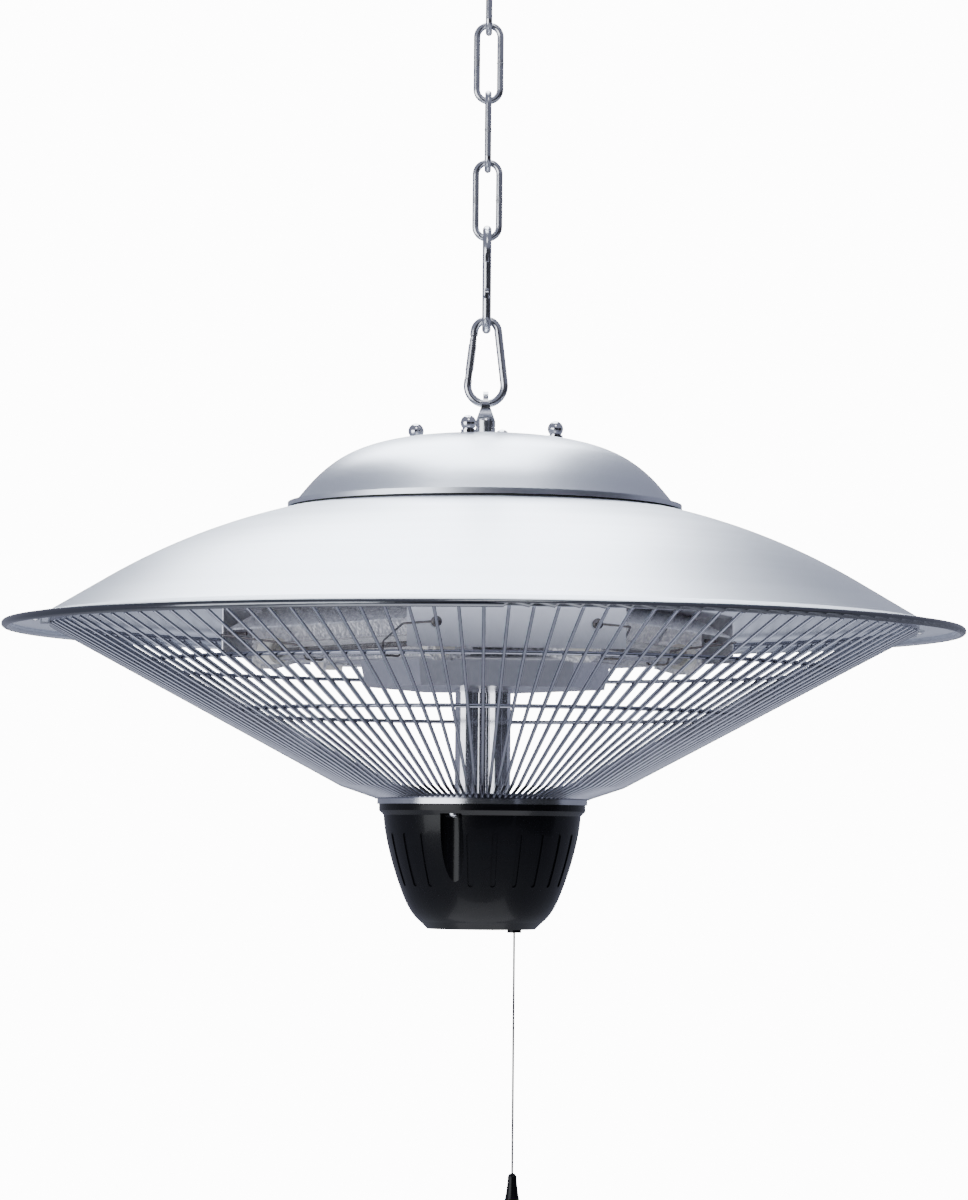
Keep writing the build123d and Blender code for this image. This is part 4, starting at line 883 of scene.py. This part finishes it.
class HangingSizes(bpy.types.PropertyGroup):
    """Sizes of the hook's thread, the welds of the chain and the pull cord."""

    thread_radius: length_setting("Thread radius", "Shank under the thread", 2.6 * MM)
    thread_start: length_setting("Thread start", "Plain length of the shank", 3.0 * MM)
    thread_length: length_setting("Thread length", "Length of the even thread", 22.0 * MM)
    thread_pitch: length_setting("Pitch", "Distance from turn to turn", 2.1 * MM)
    thread_depth: length_setting("Depth", "Height of the thread", 0.9 * MM)
    point_radius: length_setting("Point radius", "Radius of the thread at the point", 0.6 * MM)
    point_length: length_setting("Point length", "Length that narrows to the point", 6.0 * MM)
    bead: length_setting("Weld bead", "Thickness of a link's weld bead", 0.9 * MM)
    bead_roughness: length_setting("Unevenness", "Unevenness of a weld bead", 0.35 * MM)
    cord: length_setting("Cord", "Diameter of the pull cord", 1.3 * MM)


class StageSizes(bpy.types.PropertyGroup):
    """Camera and light."""

    camera_distance: length_setting("Distance", "Camera from the hanging axis", 2.55)
    camera_drop: length_setting("Drop", "Camera below the ceiling", 0.592)
    lens: bpy.props.FloatProperty(
        name="Lens", description="Focal length in millimetres", default=122.43)
    pitch: angle_setting("Pitch", "How far the camera looks up", radians(3.377))
    roll: angle_setting("Roll", "Camera turned about its view", radians(0.5))
    floor_drop: length_setting("Floor", "Floor below the ceiling", 3.4)
    back_light: power_setting("Back light", "Large light above and behind", 210.0)
    front_light: power_setting("Front light", "Light above the camera", 16.0)
    side_light: power_setting("Side light", "Light at the left", 66.0)
    low_light: power_setting("Low light", "Light near the floor", 40.0)


SETTINGS = {
    "heater_colours": HeaterColours,
    "heater_guard": GuardSizes,
    "heater_lamps": LampSizes,
    "heater_hanging": HangingSizes,
    "heater_stage": StageSizes,
}


# ---------------------------------------------------------------- operators


def keep(piece, body, slot, *nodes):
    """Let a finished piece ride on its body and stand for the nodes that it replaces."""
    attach(piece, body)
    if nodes:
        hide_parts(*nodes)


class PullCordOperator(bpy.types.Operator):
    """Hang the pull cord from its spool down to the knob"""

    bl_idname = "heater.pull_cord"
    bl_label = "Pull cord"

    def execute(self, context):
        diameter = context.scene.heater_hanging.cord
        spool = RIM_HEIGHT - SPOOL_DROP
        heights = (spool, CORD_EXIT, *(CORD_EXIT - step for step in CORD_STEPS), KNOB_TOP)
        curve = bpy.data.curves.new("pull_cord_line", "CURVE")
        curve.dimensions = "3D"
        curve.bevel_depth = diameter / 2
        curve.bevel_resolution = 3
        curve.use_fill_caps = True
        spline = curve.splines.new("NURBS")
        spline.points.add(len(heights) - 1)
        for point, height in zip(spline.points, heights):
            point.co = (CORD_PLACE, 0, height, 1)
        spline.order_u = 3
        spline.use_endpoint_u = True
        spline.resolution_u = 12
        cord = bpy.data.objects.new("pull_cord_line", curve)
        context.scene.collection.objects.link(cord)
        curve.materials.append(finish_called("twisted_cord"))
        keep(cord, "pull", "cord_grey", "pull_cord")
        return {"FINISHED"}


class FinishesOperator(bpy.types.Operator):
    """Give every node of the packed model its finish"""

    bl_idname = "heater.finishes"
    bl_label = "Finishes"

    def execute(self, context):
        subparts = {part["node"]: part["material_slot"] for part in frame["record"]["subparts"]}
        for name, node in frame["nodes"].items():
            finish = NODE_FINISHES.get(name) or SLOT_FINISHES[subparts[name]]
            for slot in node.material_slots:
                slot.material = finish_called(finish)
        return {"FINISHED"}


class GuardOperator(bpy.types.Operator):
    """Make the guard's round wires and its three wire rings"""

    bl_idname = "heater.guard"
    bl_label = "Wire guard"

    def execute(self, context):
        sizes = context.scene.heater_guard
        wires = guard_wire_recipe().piece(
            "guard_wire_cage", "guard_chrome", count=sizes.wire_count, diameter=sizes.wire,
            bend_radius=sizes.bend, top_radius=sizes.top_radius, top_height=RIM_HEIGHT,
            knee_radius=sizes.knee_radius, knee_height=RIM_HEIGHT - sizes.knee_drop,
            foot_radius=sizes.foot_radius, foot_height=RIM_HEIGHT - sizes.foot_drop)
        keep(wires, "heater", "guard_steel", "guard_wires")
        slope = atan2(sizes.knee_drop, sizes.top_radius - sizes.knee_radius)
        lift = (sizes.wire + sizes.ring_wire) / 2 - sizes.weld_depth
        ring_recipe = wire_ring_recipe()
        insets = {"guard_upper_ring": sizes.upper_inset, "guard_lower_ring": sizes.lower_inset}
        for node, inset in insets.items():
            ring = ring_recipe.piece(
                node + "_round", "guard_chrome", diameter=sizes.ring_wire,
                radius=sizes.top_radius - inset - lift * sin(slope),
                height=RIM_HEIGHT - inset * tan(slope) + lift * cos(slope))
            keep(ring, "heater", "guard_steel", node)
        top_wire = sizes.top_ring_wire * ACROSS_FLATS
        ring = ring_recipe.piece(
            "guard_top_ring_round", "guard_chrome", diameter=top_wire, radius=sizes.top_radius,
            height=RIM_HEIGHT + ((top_wire + sizes.wire) / 2 - sizes.weld_depth))
        keep(ring, "heater", "guard_steel", "guard_top_ring")
        return {"FINISHED"}


class CoilsOperator(bpy.types.Operator):
    """Wind the heating coils inside the lamps"""

    bl_idname = "heater.coils"
    bl_label = "Heating coils"

    def execute(self, context):
        sizes = context.scene.heater_lamps
        coils = coil_recipe().piece(
            "wound_lamp_coils", "heating_wire", radius=sizes.coil_radius, length=sizes.coil_length,
            turns=sizes.coil_turns, diameter=sizes.coil_wire, distance=sizes.distance,
            height=RIM_HEIGHT - sizes.drop, count=3, first_angle=LAMP_FIRST)
        keep(coils, "heater", "coil_metal", "lamp_coils")
        return {"FINISHED"}


class ScrewsOperator(bpy.types.Operator):
    """Set the cross-head screws of the lamp retainers, the guard clips and the cup"""

    bl_idname = "heater.screws"
    bl_label = "Screws"

    def execute(self, context):
        recipe = screw_ring_recipe()
        retainer = cross_head_screw("retainer_screw", *RETAINER_SCREW, RETAINER_LENGTH)
        outwards = (0, pi / 2, 0)
        for side, name in ((-1, "left"), (1, "right")):
            place = (RETAINER_DISTANCE, side * RETAINER_SIDE, RIM_HEIGHT + RETAINER_HEIGHT)
            piece = recipe.piece(
                "retainer_screws_" + name, "spring_steel", screw=retainer, turn=outwards,
                place=place, count=3, first_angle=PANEL_FIRST)
            keep(piece, "heater", "bright_steel", "retainer_screws")
        downwards = (pi, 0, 0)
        low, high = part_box("guard_screws")
        head = CLIP_SCREW[1]
        clip = cross_head_screw("clip_screw", *CLIP_SCREW, high[2] - low[2] - head)
        piece = recipe.piece(
            "clip_screws", "zinc_plate", screw=clip, turn=downwards,
            place=(CLIP_DISTANCE, 0, low[2] + head), count=6, first_angle=CLIP_FIRST)
        keep(piece, "heater", "bright_steel", "guard_screws")
        low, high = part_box("cup_screws")
        head = CUP_SCREW[1]
        cup = cross_head_screw("cup_screw", *CUP_SCREW, high[2] - low[2] - head)
        piece = recipe.piece(
            "cup_fixing_screws", "zinc_plate", screw=cup, turn=downwards,
            place=(CUP_DISTANCE, 0, low[2] + head), count=3, first_angle=CUP_FIRST)
        keep(piece, "heater", "bright_steel", "cup_screws")
        for screw in (retainer, clip, cup):
            bpy.data.objects.remove(screw)
        return {"FINISHED"}


class ThreadOperator(bpy.types.Operator):
    """Cut the wood-screw thread of the ceiling hook"""

    bl_idname = "heater.thread"
    bl_label = "Hook thread"

    def execute(self, context):
        sizes = context.scene.heater_hanging
        thread = thread_recipe().piece(
            "hook_thread", "zinc_plate", radius=sizes.thread_radius, length=sizes.thread_length,
            depth=sizes.thread_depth, start=sizes.thread_start, pitch=sizes.thread_pitch,
            point_radius=sizes.point_radius, point_length=sizes.point_length)
        keep(thread, "ceiling_hook", "bright_steel")
        return {"FINISHED"}


class WeldsOperator(bpy.types.Operator):
    """Put the weld bead on one leg of each chain link"""

    bl_idname = "heater.welds"
    bl_label = "Chain welds"

    def execute(self, context):
        sizes = context.scene.heater_hanging
        recipe = weld_bead_recipe()
        for index, bar in enumerate(LINK_BARS):
            middle = bar + LINK_HALF
            leg = (LINK_LEG, 0, middle) if index % 2 else (0, -LINK_LEG, middle)
            bead = recipe.piece(
                "weld_bead_" + str(index + 1), "plated_wire", radius=LINK_WIRE / 2 - BEAD_SINK,
                thickness=sizes.bead, seed=SEED_STEP * index, unevenness=sizes.bead_roughness,
                place=leg)
            keep(bead, "link_" + str(index + 1), "chain_steel")
        return {"FINISHED"}


def square_panel(name, size, centre, turn, finish):
    """Flat panel of the studio."""
    mesh = bmesh.new()
    bmesh.ops.create_grid(mesh, x_segments=6, y_segments=6, size=0.5)
    bmesh.ops.transform(mesh, verts=mesh.verts, matrix=Matrix.Diagonal((*size, 1, 1)))
    panel = object_of(name, mesh)
    panel.location = centre
    panel.rotation_euler = turn
    panel.data.materials.append(finish_called(finish))
    bpy.context.scene.collection.objects.link(panel)
    return panel


def soft_light(name, place, target, size, power, colour):
    """Rectangular area light that faces a point."""
    light = bpy.data.lights.new(name, "AREA")
    light.shape = "RECTANGLE"
    light.size, light.size_y = size
    light.energy = power
    light.color = colour
    lamp = bpy.data.objects.new(name, light)
    lamp.location = place
    lamp.rotation_euler = (Vector(target) - Vector(place)).to_track_quat("-Z", "Y").to_euler()
    bpy.context.scene.collection.objects.link(lamp)


def studio_air():
    """World: white where the camera looks through, lavender-grey in reflections."""
    world = bpy.data.worlds.new("studio_air")
    world.use_nodes = True
    tree = world.node_tree
    tree.nodes.clear()
    output = tree.nodes.new("ShaderNodeOutputWorld")
    mix = tree.nodes.new("ShaderNodeMixShader")
    path = tree.nodes.new("ShaderNodeLightPath")
    tree.links.new(path.outputs["Is Camera Ray"], mix.inputs[0])
    for index, (colour, strength) in enumerate((AIR_REFLECTED, AIR_SEEN), start=1):
        air = tree.nodes.new("ShaderNodeBackground")
        air.inputs["Color"].default_value = colour
        air.inputs["Strength"].default_value = strength
        tree.links.new(air.outputs[0], mix.inputs[index])
    tree.links.new(mix.outputs[0], output.inputs[0])
    bpy.context.scene.world = world


class StageOperator(bpy.types.Operator):
    """Set up the floor, the lights and the camera"""

    bl_idname = "heater.stage"
    bl_label = "Stage"

    def execute(self, context):
        sizes = context.scene.heater_stage
        camera = bpy.data.cameras.new("camera")
        camera.lens = sizes.lens
        camera.sensor_width = SENSOR_WIDTH
        camera.clip_end = CLIP_END
        viewer = bpy.data.objects.new("camera", camera)
        place = Matrix.Translation((0, -sizes.camera_distance, -sizes.camera_drop))
        tilt = Matrix.Rotation(pi / 2 + sizes.pitch, 4, "X")
        viewer.matrix_world = place @ tilt @ Matrix.Rotation(sizes.roll, 4, "Z")
        context.scene.collection.objects.link(viewer)
        context.scene.camera = viewer
        studio_air()
        square_panel("floor", FLOOR_SIZE, (0, 0, -sizes.floor_drop), (0, 0, 0), "studio_floor")
        for name, (size, centre, turn) in DARK_CLOTHS.items():
            cloth = square_panel(name, size, centre, (pi / 2, 0, turn), "studio_flag")
            cloth.visible_camera = False
        for name, (spot, target, size, colour) in LIGHTS.items():
            soft_light(name, spot, target, size, getattr(sizes, name), colour)
        return {"FINISHED"}


class HeaterPanel(bpy.types.Panel):
    """Lists the operators that dress the heater, and their settings."""

    bl_idname = "VIEW3D_PT_heater"
    bl_label = "Infrared heater"
    bl_space_type = "VIEW_3D"
    bl_region_type = "UI"
    bl_category = "Heater"

    def draw(self, context):
        for operator in OPERATORS:
            self.layout.operator(operator.bl_idname)
        for name, settings in SETTINGS.items():
            box = self.layout.box()
            box.label(text=settings.__doc__)
            group = getattr(context.scene, name)
            for key in settings.__annotations__:
                box.prop(group, key)


OPERATORS = (
    PullCordOperator,
    FinishesOperator,
    GuardOperator,
    CoilsOperator,
    ScrewsOperator,
    ThreadOperator,
    WeldsOperator,
    StageOperator,
)


def register():
    for kind in (*SETTINGS.values(), *OPERATORS, HeaterPanel):
        bpy.utils.register_class(kind)
    for name, settings in SETTINGS.items():
        setattr(bpy.types.Scene, name, bpy.props.PointerProperty(type=settings))


def unregister():
    for name in SETTINGS:
        delattr(bpy.types.Scene, name)
    for kind in (HeaterPanel, *reversed(OPERATORS), *reversed(SETTINGS.values())):
        bpy.utils.unregister_class(kind)


def main():
    """Run the operators in their order."""
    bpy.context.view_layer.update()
    register()
    bpy.ops.heater.stage()
    bpy.ops.heater.pull_cord()
    bpy.ops.heater.finishes()
    bpy.ops.heater.guard()
    bpy.ops.heater.coils()
    bpy.ops.heater.screws()
    bpy.ops.heater.thread()
    bpy.ops.heater.welds()


if __name__ == "__main__":
    main()
